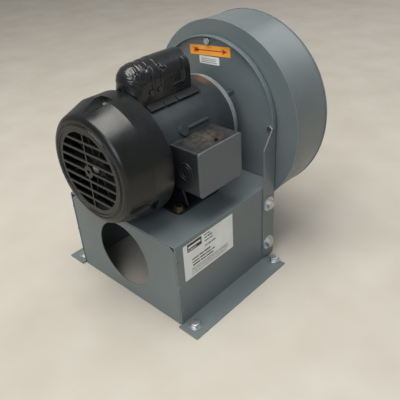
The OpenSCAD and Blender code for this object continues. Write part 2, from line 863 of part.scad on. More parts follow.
// The cover's solid form, g inside its surface and past its rear rim
module cover_form(g, past) {
  corner = front_round - g;
  front = cover_front + g;
  difference() {
    lathe() union() {
      polygon([[0, front], [front_r, front], [front_r + corner * cos(taper_turn), front + corner
        - corner * sin(taper_turn)], [cover_r - g, cover_bend + g * tan(taper_turn / 2)],
        [cover_r - g, cover_rear + past], [0, cover_rear + past]]);
      translate([front_r, front + corner]) circle(corner);
    }
    for (a = notch_turns) polar_rod(notch_at, a, notch_r + g, cover_front - over, notch_end + g);
  }
}

module grille_openings() {
  difference() {
    intersection() {
      circle(grille_r);
      for (k = [0 : grille_rows - 1]) translate([-grille_r, k * grille_pitch - grille_r + grille_bar / 2])
        square([2 * grille_r, grille_pitch - grille_bar]);
    }
    square([grille_stem, 2 * grille_r], center = true);
    circle(grille_hub);
  }
  circle(grille_hole);
}

cover_screw_r = 2.5;
cover_screw_head = 4;
cover_screw_l = 8.5;

module fan_cover() {
  color(black) difference() {
    union() {
      cover_form(0, 0);
      lathe() translate([cover_r - bead_in, cover_front]) circle(bead_r);
    }
    lathe() translate([cover_r - rim_groove_in, cover_front]) circle(rim_groove_r);
    cover_form(cover_t, over);
    shaft_slab(cover_front - over, cover_front + cover_t + over) grille_openings();
    for (a = notch_turns) spoke(cover_screw_r + bolt_clear, cover_screw_y, a, lug_top - over, cover_r);
  }
}

module fan_cover_screws() {
  seat_r = notch_at - sqrt(pow(notch_r, 2) - pow(cover_screw_head, 2)) + nick;
  color(zinc) for (a = notch_turns) {
    spoke(cover_screw_r, cover_screw_y, a, lug_top - cover_screw_l, seat_r + cover_screw_r);
    spoke(cover_screw_head, cover_screw_y, a, seat_r, seat_r + cover_screw_r);
  }
}

// The capacitor's saddle, can and cover
saddle_t = 3.8;
saddle_in = shell_r + seat;
saddle_out = saddle_in + saddle_t;
saddle_turn = 29.5;
saddle_y0 = -52;
saddle_y1 = 46;
saddle_cut = 2;
saddle_cut_turn = 24;
saddle_cuts = [-24, 0];
saddle_under = 2.3;
saddle_under_turn = 22;
cap_wall = 2;
cap_y0 = -70.5;
cap_y1 = cap_y0 + cap_l;
cap_nose = 22;
cap_round = 3;
cap_step = 0.7;
cap_steps = [-19, -33, -47];
cap_side = 24.3;
cap_side_z = cap_up - cap_r;
tab_y = [-38.8, -23];
tab_w = 9;
tab_t = 2;
tab_top = cap_up - 8.5;
tab_in = 19.4;
cap_screw_z = cap_up - 13.8;

// The sector of a ring within angle turn of the vertical
module top_sector(ro, ri, turn) {
  difference() {
    intersection() {
      circle(ro);
      polygon([[0, 0], [2 * ro * sin(turn), 2 * ro * cos(turn)], [-2 * ro * sin(turn), 2 * ro * cos(turn)]]);
    }
    circle(ri);
  }
}

module capacitor_saddle() {
  color(black) difference() {
    union() {
      shaft_slab(saddle_y0, saddle_y1) top_sector(saddle_out, saddle_in, saddle_turn);
      for (s = [-1, 1], y = tab_y) shaft_slab(y - tab_w / 2, y + tab_w / 2) difference() {
        translate([s > 0 ? tab_in : -tab_in - tab_t, 0]) square([tab_t, tab_top]);
        circle(saddle_out - bite);
      }
    }
    for (y = saddle_cuts) shaft_slab(y - saddle_cut / 2, y + saddle_cut / 2) difference() {
      top_sector(saddle_out + over, saddle_in - over, saddle_turn + saddle_cut);
      top_sector(saddle_out + 2 * over, saddle_in - 2 * over, saddle_cut_turn);
    }
    shaft_slab(saddle_y0 - over, saddle_y1 + over) difference() {
      top_sector(saddle_in + saddle_under, saddle_in - over, saddle_turn + saddle_cut);
      top_sector(saddle_out, saddle_in - 2 * over, saddle_under_turn);
    }
    side_screws(cap_screw_r + thread_gap, tab_in - over, tab_in + tab_t + over);
  }
}

cap_screw_r = 1.8;

// Rods along X at the screws of the capacitor's cover
module side_screws(r, x0, x1) {
  for (s = [-1, 1], y = tab_y) translate([s > 0 ? x0 : -x1, y, axis_z + cap_screw_z])
    rotate([0, 90, 0]) cylinder(r = r, h = x1 - x0);
}

// The stepped outline of the capacitor's cover, half of it, g inside its surface
module cap_outline(g, past) {
  last = cap_r - len(cap_steps) * cap_step;
  intersection() {
    union() {
      translate([0, cap_steps[0] + g]) square([cap_r - g, cap_y1 - cap_round + past - cap_steps[0] - g]);
      translate([0, cap_steps[0] + g]) square([cap_r - cap_round - g, cap_y1 + past - cap_steps[0] - g]);
      translate([cap_r - cap_round - g, cap_y1 + past - cap_round]) circle(cap_round);
      for (k = [1 : len(cap_steps)]) let (rear = k < len(cap_steps) ? cap_steps[k] : cap_y0 + cap_nose)
        translate([0, rear + g - bite])
          square([cap_r - k * cap_step - g, cap_steps[k - 1] - rear + 2 * bite]);
      translate([last - cap_nose, cap_y0 + cap_nose]) circle(cap_nose - g);
      translate([0, cap_y0 + g]) square([max(last - cap_nose, bite), cap_nose]);
    }
    translate([0, cap_y0]) square([cap_r, cap_l + past]);
  }
}

module cap_form(g, past) {
  difference() {
    intersection() {
      translate([0, 0, axis_z + cap_up]) union() {
        rotate([-90, 0, 0]) rotate_extrude() cap_outline(g, past);
        translate([0, 0, -cap_up + cap_side_z / 2]) linear_extrude(cap_up - cap_side_z / 2)
          union() {
            cap_outline(g, past);
            mirror([1, 0]) cap_outline(g, past);
          }
      }
      shaft_slab(cap_y0 - over, cap_y1 + past + over) union() {
        translate([0, cap_up]) circle(cap_r - g);
        polygon([[g - cap_r, cap_up], [g - cap_side, cap_side_z], [g - cap_side, cap_side_z / 2],
          [cap_side - g, cap_side_z / 2], [cap_side - g, cap_side_z], [cap_r - g, cap_up]]);
      }
    }
    rod(saddle_out + seat - g, cap_y0 - over, cap_y1 + past + over);
  }
}

module capacitor_cover() {
  color(black) difference() {
    cap_form(0, 0);
    cap_form(cap_wall, -cap_wall);
    side_screws(cap_screw_r + bolt_clear, tab_in + tab_t, cap_r + over);
  }
}

module capacitor_cover_screws() {
  top = cap_screw_z + 2 * cap_screw_r;
  out = cap_side + (top - cap_side_z) / (cap_up - cap_side_z) * (cap_r - cap_side);
  color(zinc) {
    side_screws(cap_screw_r, tab_in - cap_wall, out + cap_screw_r);
    side_screws(2 * cap_screw_r, out + nick, out + cap_screw_r);
  }
}

can_gap = 0.3;
can_rear = -50;
can_front = 28;
can_bead = 1;
blade_x = 6;
blade_w = 6.3;
blade_t = 0.8;
blade_l = 6;

module capacitor() {
  color([0.55, 0.57, 0.6]) {
    translate([0, 0, saddle_out + can_gap + cap_can_r]) {
      rod(cap_can_r - can_bead, can_rear, can_front);
      rod(cap_can_r, can_rear + can_bead, can_front - 2 * can_bead);
      for (s = [-1, 1]) translate([s * blade_x - blade_w / 2, can_front - bite, axis_z - blade_t / 2])
        cube([blade_w, blade_l, blade_t]);
    }
  }
}

// The terminal box beside the shell
box_y = -8;
box_t = 1.6;
box_round = 3;
box_in = 50;
box_face = box_out - 3;
box_mid_z = axis_z + box_up - box_h / 2;
box_screw_r = 1.9;
box_screw_x = 108.5;
box_screw_y = 3.5;
box_screw_head = 3;
box_screw_l = 8;
box_tab = 12;
box_tab_t = 2;
knock_r = 11;
knock_rim = 14;
knock_x = 94;
knock_t = 1;

// A shape drawn in Y and Z about the box's middle, extruded from x0 to x1
module box_slab(x0, x1) {
  translate([x0, box_y, box_mid_z]) rotate([90, 0, 90]) linear_extrude(x1 - x0) children();
}

module box_form(g, past) {
  difference() {
    box_slab(box_in, box_face + past) round_plate(box_l - 2 * g, box_h - 2 * g, box_round - g / 2);
    rod(shell_r + seat + g, box_y - box_l, box_y + box_l);
  }
}

// Vertical rods at the two screws of the box's cover, from z0 to z1 away from the box's middle
module box_screw_rods(r, z0, z1) {
  for (s = [-1, 1]) translate([box_screw_x, box_y + box_screw_y, box_mid_z + (s > 0 ? z0 : -z1)])
    cylinder(r = r, h = z1 - z0);
}

module knock_rod(r, y0, y1) {
  translate([knock_x, y1, box_mid_z]) rotate([90, 0, 0]) cylinder(r = r, h = y1 - y0);
}

module terminal_box() {
  wall = box_y - box_l / 2;
  color(enamel) difference() {
    box_form(0, 0);
    box_form(box_t, over);
    box_screw_rods(box_screw_r + bolt_clear, box_h / 2 - box_t - over, box_h / 2 + over);
    knock_rod(knock_r + seat, wall - over, wall + box_t + over);
    spoke(lead_hole_r, box_y, 0, shell_r - over, shell_r + lead_hole_r);
  }
}

module terminal_box_cover() {
  tab_z = box_h / 2 - box_t - seat;
  color(enamel) difference() {
    union() {
      difference() {
        box_slab(box_face, box_out) round_plate(box_l, box_h, box_round);
        box_slab(box_face - over, box_out - box_t)
          round_plate(box_l - 2 * box_t, box_h - 2 * box_t, box_round / 2);
      }
      box_slab(box_screw_x - box_tab / 2, box_out - box_t + bite) for (s = [-1, 1])
        translate([box_screw_y, s * (tab_z - box_tab_t / 2)]) square([box_tab, box_tab_t], center = true);
    }
    box_screw_rods(box_screw_r + thread_gap, tab_z - box_tab_t - over, tab_z + over);
  }
}

module terminal_box_screws() {
  color(black) {
    box_screw_rods(box_screw_r, box_h / 2 - box_screw_l, box_h / 2 + box_screw_r);
    box_screw_rods(box_screw_head, box_h / 2, box_h / 2 + box_screw_r);
  }
}

module knockout_plug() {
  wall = box_y - box_l / 2;
  color(enamel) {
    knock_rod(knock_r, wall - knock_t / 2, wall + box_t + knock_t);
    knock_rod(knock_rim, wall - knock_t, wall);
  }
}

block_x = 72.6;
block_t = 14;
block_l = 52;
block_h = 20;
stud_r = 2.1;
stud_up = 9;
stud_gap = 11;
stud_nut = 3.2;
stud_count = 4;

module terminal_block() {
  color([0.15, 0.1, 0.08]) difference() {
    box_slab(block_x, block_x + block_t) translate([0, axis_z - box_mid_z + stud_gap])
      square([block_l, block_h], center = true);
    rod(shell_r + seat + box_t, box_y - box_l, box_y + box_l);
  }
  color(zinc) box_slab(block_x + block_t - bite, block_x + block_t + stud_up)
    for (k = [0 : stud_count - 1])
      translate([(k - (stud_count - 1) / 2) * stud_gap, axis_z - box_mid_z + stud_gap]) circle(stud_r);
  color(zinc) box_slab(block_x + block_t - bite, block_x + block_t + stud_nut)
    for (k = [0 : stud_count - 1])
      translate([(k - (stud_count - 1) / 2) * stud_gap, axis_z - box_mid_z + stud_gap])
        circle(2 * stud_r, $fn = hex_sides);
}

// The starting switch beside the fan-end shield
board_y = -62;
board_t = 2;
board_out = 45;
board_in = 25;
leg_r = 4;
leg_at = 36;
leg_turns = [20, 160, 270];
leg_end = fan_shield_end + shield_t;
contact_h = 3;
contact_at = 19.5;

module switch_plate() {
  color([0.5, 0.35, 0.2]) {
    ring(board_out, board_in, board_y, board_y + board_t);
    for (a = leg_turns) polar_rod(leg_at, a, leg_r, leg_end, board_y + bite);
    for (s = [-1, 1]) translate([-contact_at / 4, board_y, axis_z + s * (board_in + contact_h) - contact_h])
      cube([contact_at / 2, board_t + contact_h, 2 * contact_h]);
  }
}

seal_lip = 22;
seal_lip_t = 1.5;
seal_gap = 0.3;
seal_end = 4;

module shaft_seal() {
  color(black) difference() {
    union() {
      rod(seal_lip, plate_in - seal_lip_t, plate_in);
      rod(seal_r - seat, plate_in - bite, plate_in + seal_end);
    }
    rod(shaft_d / 2 + seal_gap, plate_in - seal_lip, plate_in + seal_lip);
  }
}

// Blank stickers
label_t = 0.25;
label_round = 1.5;
rating_y0 = -96.3;
rating_l = 107.4;
rating_z0 = 77;
rating_h = 62.5;
rotation_label_at = [-7, rim_r - 25.4];
rotation_label_size = [84.8, 15.6];
rotation_label_tilt = 4.3;
service_label_at = [-8.3, rim_r - 41.1];
service_label_size = [42, 12.5];
service_label_tilt = 2.5;

module rating_label() {
  color([0.85, 0.85, 0.82]) translate([ped_half, rating_y0 + rating_l / 2, rating_z0 + rating_h / 2])
    rotate([90, 0, 90]) linear_extrude(label_t) round_plate(rating_l, rating_h, label_round);
}

module rotation_label() {
  color([0.9, 0.55, 0.15]) shaft_slab(plate_in - label_t, plate_in) translate(rotation_label_at)
    rotate(rotation_label_tilt)
      round_plate(rotation_label_size[0], rotation_label_size[1], label_round);
}

module service_label() {
  color([0.85, 0.85, 0.82]) shaft_slab(plate_in - label_t, plate_in) translate(service_label_at)
    rotate(service_label_tilt)
      round_plate(service_label_size[0], service_label_size[1], label_round);
}

// The shaft and what turns with it
shaft_r = shaft_d / 2;
shaft_core_r = 11;
shaft_fan_r = 7;
shaft_rear = -133;
shaft_front = 174;
fan_seat = -86;
rear_shoulder = fan_bearing_y + bearing_w / 2;
front_shoulder = drive_bearing_y - bearing_w / 2;
flat_depth = 1;
wheel_in = 10.1;
wheel_y = scroll_y0 + wheel_in;
hub_y1 = wheel_y + wheel_t + hub_l;

module motor_shaft() {
  color(steel) difference() {
    union() {
      rod(shaft_fan_r - chamfer, shaft_rear, fan_seat);
      rod(shaft_fan_r, shaft_rear + chamfer, fan_seat);
      rod(bearing_bore, fan_seat, rear_shoulder);
      rod(shaft_core_r, rear_shoulder, front_shoulder);
      rod(bearing_bore, front_shoulder, drive_bearing_y + bearing_w);
      rod(shaft_r, front_shoulder, shaft_front - chamfer);
      rod(shaft_r - chamfer, front_shoulder, shaft_front);
    }
    translate([-shaft_r, wheel_y - over, axis_z + shaft_r - flat_depth])
      cube([shaft_d, shaft_front - wheel_y + 2 * over, flat_depth + over]);
  }
}

module rotor_core() {
  color(steel) ring(rotor_r, shaft_core_r, core_y0, core_y1);
}

end_ring_t = 7;
end_ring_out = rotor_r - 1.5;
end_ring_in = 24;
fin_count = 6;
fin_t = 3;
fin_l = 8;

module rotor_end_rings() {
  color([0.75, 0.76, 0.78]) for (s = [-1, 1]) let (base = s > 0 ? core_y1 : core_y0) {
    ring(end_ring_out, end_ring_in, min(base, base + s * end_ring_t), max(base, base + s * end_ring_t));
    if (s > 0) for (k = [0 : fin_count - 1]) polar(end_ring_in + fin_t, k * 360 / fin_count)
      translate([0, base + end_ring_t - bite, -fin_t / 2]) cube([fin_l, fin_l, fin_t]);
  }
}

fan_y0 = -128;
fan_y1 = -106;
fan_disc_t = 2;
fan_hub_r = 14;
fan_blades = 10;
fan_blade_t = 2.5;

module cooling_fan() {
  color(black) difference() {
    union() {
      rod(fan_hub_r, fan_y0 + fan_disc_t, fan_y1 + fan_disc_t);
      rod(fan_r - fan_disc_t, fan_y1, fan_y1 + fan_disc_t);
      for (k = [0 : fan_blades - 1]) polar(fan_hub_r - bite, k * 360 / fan_blades)
        translate([0, fan_y0, -fan_blade_t / 2])
          cube([fan_r - fan_hub_r, fan_y1 - fan_y0 + bite, fan_blade_t]);
    }
    rod(shaft_fan_r, fan_y0 - over, fan_y1 + fan_disc_t + over);
  }
}

hub_flange_r = 34;
hub_flange_t = 4;
set_screw_r = 4;
set_screw_l = 9;
set_screw_in = 12;
set_screw_y = wheel_y + wheel_t + hub_l - set_screw_in;

module wheel_hub() {
  color(steel) difference() {
    union() {
      rod(hub_r, wheel_y + wheel_t, hub_y1);
      rod(hub_flange_r, wheel_y + wheel_t, wheel_y + wheel_t + hub_flange_t);
    }
    rod(shaft_r, wheel_y, hub_y1 + over);
    for (a = [0, 90]) spoke(set_screw_r + thread_gap, set_screw_y, a, shaft_r - flat_depth, hub_r + over);
  }
}

module wheel_set_screws() {
  color(black) for (a = [0, 90]) let (foot = a > 0 ? shaft_r - flat_depth : shaft_r) difference() {
    spoke(set_screw_r, set_screw_y, a, foot, foot + set_screw_l);
    translate([0, set_screw_y, axis_z]) rotate([0, 90 - a, 0]) translate([0, 0, foot + set_screw_l / 2])
      cylinder(r = set_screw_r / 2, h = set_screw_l, $fn = hex_sides);
  }
}

module wheel_backplate() {
  color([0.3, 0.32, 0.34]) ring(wheel_r, shaft_r, wheel_y, wheel_y + wheel_t);
}

blade_in = 37;
blade_eye = 62;
blade_low = 33;
blade_tab = 12;

module wheel_blades() {
  base = wheel_y + wheel_t;
  tip = wheel_y + wheel_w + wheel_t;
  color([0.3, 0.32, 0.34]) for (k = [0 : blade_count - 1])
    translate([0, 0, axis_z]) rotate([0, -(k + 1 / 2) * 360 / blade_count, 0]) {
      translate([0, 0, -wheel_t / 2]) linear_extrude(wheel_t)
        polygon([[blade_in, base], [wheel_r - wheel_t, base], [wheel_r - wheel_t, tip],
          [blade_eye, tip], [blade_in, base + blade_low]]);
      translate([blade_in, base, 0]) cube([wheel_r - blade_in - 2 * wheel_t, wheel_t, blade_tab]);
    }
}

// The governor: plate, sliding spool and two hinged weights
governor_y = -41;
governor_t = 3;
governor_r = 24;
pivot_y = -48;
pivot_z = 22;
pivot_r = 1.5;
ear_x = 5;
ear_t = 2;
ear_z0 = 19;
ear_z1 = 25;
spool_y0 = -56;
spool_disc_t = 3;
spool_disc_r = 20;
spool_r = 12.2;
spool_end = -44.6;
spool_lip_r = 14.5;
spool_lip_t = 1.2;
spool_gap = 4.4;
arm_t = 2;
arm_foot = 12.7;
weight_x = 4.5;
weight_z1 = 30;
weight_front = -42.4;

module governor_plate() {
  color([0.6, 0.55, 0.35]) {
    ring(governor_r, shaft_core_r, governor_y, governor_y + governor_t);
    for (sz = [-1, 1]) translate([0, 0, axis_z]) scale([1, 1, sz]) {
      for (sx = [-1, 1]) translate([sx > 0 ? ear_x : -ear_x - ear_t, pivot_y - ear_t, ear_z0])
        cube([ear_t, governor_y + bite + ear_t - pivot_y, ear_z1 - ear_z0]);
      translate([-ear_x - bite, pivot_y, pivot_z]) rotate([0, 90, 0])
        cylinder(r = pivot_r, h = 2 * (ear_x + bite));
    }
  }
}

module governor_spool() {
  color([0.85, 0.83, 0.75]) difference() {
    union() {
      rod(spool_disc_r, spool_y0, spool_y0 + spool_disc_t);
      rod(spool_r, spool_y0, spool_end);
      for (y = [spool_end - spool_lip_t, spool_end - 2 * spool_lip_t - spool_gap])
        rod(spool_lip_r, y, y + spool_lip_t);
    }
    rod(shaft_core_r + run, spool_y0 - over, spool_end + over);
  }
}

module governor_weight(sz) {
  color(steel) translate([0, 0, axis_z]) scale([1, 1, sz]) difference() {
    union() {
      translate([-weight_x / 2, pivot_y - arm_t / 2, arm_foot]) cube([weight_x, arm_t, pivot_z - arm_foot]);
      translate([-weight_x, pivot_y - arm_t, pivot_z - arm_t])
        cube([2 * weight_x, weight_front - pivot_y + arm_t, weight_z1 - pivot_z + arm_t]);
    }
    translate([-ear_x, pivot_y, pivot_z]) rotate([0, 90, 0]) cylinder(r = pivot_r + run, h = 2 * ear_x);
  }
}

module governor_weight_upper() { governor_weight(1); }
module governor_weight_lower() { governor_weight(-1); }

pedestal_shell();
pedestal_end_plate();
drive_plate();
scroll_drive_side();
scroll_wrapper();
scroll_inlet_side();
inlet_collar();
inlet_rivets();
outlet_flange();
drive_plate_gasket();
drive_plate_bolts();
drive_plate_nuts();
pedestal_side_bolts();
pedestal_side_washers();
pedestal_side_nuts();
motor_base();
motor_base_bolts();
motor_base_nuts();
motor_shell();
stator_core();
stator_windings();
drive_end_shield();
fan_end_shield();
motor_through_bolts();
motor_stud_nuts();
drive_bearing_outer();
fan_bearing_outer();
wave_washer();
fan_cover();
fan_cover_screws();
capacitor_saddle();
capacitor();
capacitor_cover();
capacitor_cover_screws();
terminal_box();
terminal_box_cover();
terminal_box_screws();
knockout_plug();
terminal_block();
switch_plate();
shaft_seal();
rating_label();
rotation_label();
service_label();
motor_shaft();
rotor_core();
rotor_end_rings();
drive_bearing_inner();
fan_bearing_inner();
cooling_fan();
wheel_hub();
wheel_backplate();
wheel_blades();
wheel_set_screws();
governor_plate();
governor_spool();
governor_weight_upper();
governor_weight_lower();
bearing_balls();
bearing_cages();
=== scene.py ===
# A direct-drive centrifugal blower on its bent sheet-steel pedestal.
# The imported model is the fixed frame. This script gives its parts their finish and adds the pressed,
# printed and bolted detail, in metres, in the frame of the model.
import json
import math
import random

import bpy
from mathutils import Matrix, Vector


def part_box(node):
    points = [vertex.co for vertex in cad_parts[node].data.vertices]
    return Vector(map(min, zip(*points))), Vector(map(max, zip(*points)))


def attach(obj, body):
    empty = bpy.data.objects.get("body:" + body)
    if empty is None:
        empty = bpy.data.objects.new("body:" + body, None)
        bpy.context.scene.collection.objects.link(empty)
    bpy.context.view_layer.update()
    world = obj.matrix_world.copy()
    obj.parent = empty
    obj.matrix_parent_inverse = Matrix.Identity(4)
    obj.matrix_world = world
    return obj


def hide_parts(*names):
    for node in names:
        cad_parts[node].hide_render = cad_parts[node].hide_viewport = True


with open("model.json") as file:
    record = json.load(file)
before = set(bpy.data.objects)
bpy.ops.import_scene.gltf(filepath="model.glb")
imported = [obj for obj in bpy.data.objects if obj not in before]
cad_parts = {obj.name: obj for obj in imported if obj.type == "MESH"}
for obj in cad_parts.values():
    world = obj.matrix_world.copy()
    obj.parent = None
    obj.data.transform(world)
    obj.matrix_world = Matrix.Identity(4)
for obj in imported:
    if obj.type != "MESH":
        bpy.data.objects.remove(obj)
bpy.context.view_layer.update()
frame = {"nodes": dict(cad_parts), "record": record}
nodes = frame["nodes"]
mm = 0.001
sharpAngle = 35  # degrees between faces from which an edge stays sharp
coreRadius = 0.01  # a turned form closes on this radius, so that no face has a side of no length
roundSegments = 48  # sides of a bolt's and a washer's round
shaftLow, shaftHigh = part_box("motor_shaft")
axisPoint = Vector((0, 0, (shaftLow.z + shaftHigh.z) / 2))
print("frame loaded:", len(nodes), "nodes")


# Materials: the helpers that every finish uses
peelDepth = 0.3  # the full height of an enamel's orange peel, in mm
markDepth = 0.2  # and that of a metal's tool marks
edgeRub = 0.5    # how far a metal's edges turn to the worn colour
bandDepth = 0.7  # how dark the lines between laminations and wires are
sheenSplit = 3   # an enamel's sheen varies in patches this much smaller than its tone's
dustRise = (0.6, 1.0)  # dust starts to lie on faces whose normal rises this much, and lies full on these
# Where in a noise, which runs from 0 to 1, each kind of mask starts and where it is full
spans = {"drift": (0.3, 0.7), "mottle": (0.45, 0.75), "dust": (0.35, 0.7), "wearAndEdgeHighlight": (0.3, 0.65),
         "spot": (0.35, 0.6)}


def linearColour(hexText):
    # from sRGB, as colours are picked, to the linear light that shaders take
    channels = [int(hexText[i:i + 2], 16) / 255 for i in (1, 3, 5)]
    return (*[c / 12.92 if c <= 0.04045 else ((c + 0.055) / 1.055) ** 2.4 for c in channels], 1)


def patternScale(size):
    return 1 / (size * mm)  # noise features of this many mm


def bandScale(pitch):
    return math.pi / 10 / (pitch * mm)  # a wave texture turns 20 radians per unit of scale


def newMaterial(name):
    material = bpy.data.materials.new(name)
    material.use_nodes = True
    material.node_tree.nodes.clear()
    return material


def addNode(material, kind, settings=None, links=None):
    node = material.node_tree.nodes.new(kind)
    for key, value in (settings or {}).items():
        if key == "stops":  # colour ramp: a list of places and colours
            while len(node.color_ramp.elements) > 1:
                node.color_ramp.elements.remove(node.color_ramp.elements[-1])
            node.color_ramp.elements[0].position, node.color_ramp.elements[0].color = value[0]
            for place, colour in value[1:]:
                node.color_ramp.elements.new(place).color = colour
        elif isinstance(key, int) or key in node.inputs:
            node.inputs[key].default_value = value
        else:
            setattr(node, key, value)
    for key, source in (links or {}).items():
        material.node_tree.links.new(source, node.inputs[key])
    return node


def layOver(material, base, colour, mask, amount):
    # one colour laid over another, as strong as the mask and the amount say
    share = addNode(material, "ShaderNodeMath", {"operation": "MULTIPLY", 1: amount}, {0: mask})
    # sockets 0, 6 and 7 of a colour mix are the factor and its two colours, and output 2 is the result
    return addNode(material, "ShaderNodeMix", {"data_type": "RGBA", 7: linearColour(colour)},
                   {0: share.outputs[0], 6: base}).outputs[2]


def noiseMask(material, place, size, kind):
    # 0 to 1 where a noise of that size in mm passes through its kind's span
    low, high = spans[kind]
    pattern = addNode(material, "ShaderNodeTexNoise", {"Scale": patternScale(size), "Detail": 3.0},
                      {"Vector": place})
    return addNode(material, "ShaderNodeMapRange", {"From Min": low, "From Max": high},
                   {"Value": pattern.outputs[0]}).outputs[0]


def edgeMask(material, radius, flatCosine=0.96, edgeCosine=0.8):
    # the bevelled normal leaves the flat one near an outer or inner edge
    bevel = addNode(material, "ShaderNodeBevel", {"samples": 4, "Radius": radius * mm})
    flat = addNode(material, "ShaderNodeNewGeometry")
    dot = addNode(material, "ShaderNodeVectorMath", {"operation": "DOT_PRODUCT"},
                  {0: bevel.outputs[0], 1: flat.outputs["Normal"]})
    mask = addNode(material, "ShaderNodeMapRange", {"From Min": flatCosine, "From Max": edgeCosine},
                   {"Value": dot.outputs["Value"]}).outputs[0]
    return bevel.outputs[0], mask


def dustMask(material, place, size):
    # dust lies on what faces up, in patches
    flat = addNode(material, "ShaderNodeNewGeometry")
    axes = addNode(material, "ShaderNodeSeparateXYZ", None, {0: flat.outputs["Normal"]})
    upward = addNode(material, "ShaderNodeMapRange", {"From Min": dustRise[0], "From Max": dustRise[1]},
                     {"Value": axes.outputs["Z"]}).outputs[0]
    patches = noiseMask(material, place, size, "dust")
    return addNode(material, "ShaderNodeMath", {"operation": "MULTIPLY"}, {0: upward, 1: patches}).outputs[0]


def spotMask(material, place, spot):
    # a ragged round patch about a point: 1 inside, 0 beyond its radius
    ragged = addNode(material, "ShaderNodeTexNoise", {"Scale": patternScale(spot["ragged"]), "Detail": 4.0},
                     {"Vector": place})
    offset = addNode(material, "ShaderNodeVectorMath", {"operation": "MULTIPLY_ADD",
                     1: (spot["ragged"] * mm,) * 3, 2: tuple(-c * mm for c in spot["at"])},
                     {0: ragged.outputs["Color"]})
    near = addNode(material, "ShaderNodeVectorMath", {"operation": "ADD"}, {0: place, 1: offset.outputs[0]})
    shaped = addNode(material, "ShaderNodeVectorMath", {"operation": "MULTIPLY", 1: spot["shape"]},
                     {0: near.outputs[0]})
    away = addNode(material, "ShaderNodeVectorMath", {"operation": "LENGTH"}, {0: shaped.outputs[0]})
    fall = addNode(material, "ShaderNodeMapRange",
                   {"From Min": spot["radius"] * mm, "From Max": spot["radius"] * mm * spot["soft"]},
                   {"Value": away.outputs["Value"]}).outputs[0]
    grain = noiseMask(material, place, spot["grain"], "spot")
    return addNode(material, "ShaderNodeMath", {"operation": "MULTIPLY"}, {0: fall, 1: grain}).outputs[0]


def twoTones(material, look, mask):
    # drifts from the finish's shade to its light
    stops = [(0.0, linearColour(look["shade"])), (1.0, linearColour(look["light"]))]
    return addNode(material, "ShaderNodeValToRGB", {"stops": stops}, {0: mask}).outputs[0]


def rubbedRoughness(material, look, mask):
    settings = {"To Min": look["roughness"] - look["rub"], "To Max": look["roughness"] + look["rub"]}
    return addNode(material, "ShaderNodeMapRange", settings, {"Value": mask}).outputs[0]


def finishSurface(material, look, colour, roughness, normal):
    # the shader that every solid finish ends in; what is the same all over is set on its own sockets
    settings = {"Metallic": look.get("metallic", 0.0), "Coat Weight": look.get("coat", 0.0),
                "Coat Roughness": look.get("coatRoughness", 0.1)}
    if not look.get("metallic"):
        settings["IOR"] = look.get("ior", 1.5)
    shader = addNode(material, "ShaderNodeBsdfPrincipled", settings,
                     {"Base Color": colour, "Roughness": roughness, "Normal": normal})
    addNode(material, "ShaderNodeOutputMaterial", None, {"Surface": shader.outputs[0]})
    return material


def paintedSurface(name, look):
    # tone drift, fine mottle, dust on top, edges lightened as wear and as painted highlight, and the orange
    # peel of sprayed paint
    material = newMaterial(name)
    place = addNode(material, "ShaderNodeTexCoord").outputs["Object"]
    drift = noiseMask(material, place, look["patch"], "drift")
    colour = twoTones(material, look, drift)
    mottle = noiseMask(material, place, look["mottle"], "mottle")
    colour = layOver(material, colour, look["shade"], mottle, look["mottleAmount"])
    for spot in look.get("spots", []):
        colour = layOver(material, colour, spot["colour"], spotMask(material, place, spot), spot["amount"])
    dust = dustMask(material, place, look["dustPatch"])
    colour = layOver(material, colour, look["dust"], dust, look["dustAmount"])
    normal, edge = edgeMask(material, look["edge"])
    wearAndEdgeHighlight = noiseMask(material, place, look["wearAndHighlightPatch"], "wearAndEdgeHighlight")
    # edges take the worn colour: partly worn paint, partly a painted highlight along the rims
    worn = addNode(material, "ShaderNodeMath", {"operation": "MULTIPLY"}, {0: edge, 1: wearAndEdgeHighlight}).outputs[0]
    colour = layOver(material, colour, look["worn"], worn, look["wearAndEdgeHighlight"])
    peel = addNode(material, "ShaderNodeTexNoise", {"Scale": patternScale(look["peel"]), "Detail": 2.0},
                   {"Vector": place})
    relief = {"Strength": look["peelStrength"], "Distance": peelDepth * mm}
    bump = addNode(material, "ShaderNodeBump", relief, {"Height": peel.outputs[0], "Normal": normal})
    rub = noiseMask(material, place, look["patch"] / sheenSplit, "drift")
    roughness = rubbedRoughness(material, look, rub)
    return finishSurface(material, look, colour, roughness, bump.outputs[0])


def metalSurface(name, look):
    # blotches in the plating, rounded edges, and tool marks as fine bands or a fine grain
    material = newMaterial(name)
    place = addNode(material, "ShaderNodeTexCoord").outputs["Object"]
    blotch = noiseMask(material, place, look["patch"], "drift")
    colour = twoTones(material, look, blotch)
    normal, edge = edgeMask(material, look["edge"])
    colour = layOver(material, colour, look["worn"], edge, edgeRub)
    centred = addNode(material, "ShaderNodeVectorMath", {"operation": "SUBTRACT", 1: tuple(axisPoint)},
                      {0: place}).outputs[0]
    if look.get("bands"):  # turned or stacked along the shaft
        marks = addNode(material, "ShaderNodeTexWave",
                        {"bands_direction": "Y", "Scale": bandScale(look["bands"]), "Distortion": 0.4,
                         "Detail": 1.0}, {"Vector": centred}).outputs["Fac"]
    else:
        settings = {"Scale": patternScale(look["grain"]), "Detail": 3.0}
        marks = addNode(material, "ShaderNodeTexNoise", settings, {"Vector": centred}).outputs[0]
    if look.get("bandShade"):
        colour = layOver(material, colour, look["bandShade"], marks, bandDepth)
    relief = {"Strength": look["markStrength"], "Distance": markDepth * mm}
    bump = addNode(material, "ShaderNodeBump", relief, {"Height": marks, "Normal": normal})
    roughness = rubbedRoughness(material, look, blotch)
    return finishSurface(material, look, colour, roughness, bump.outputs[0])
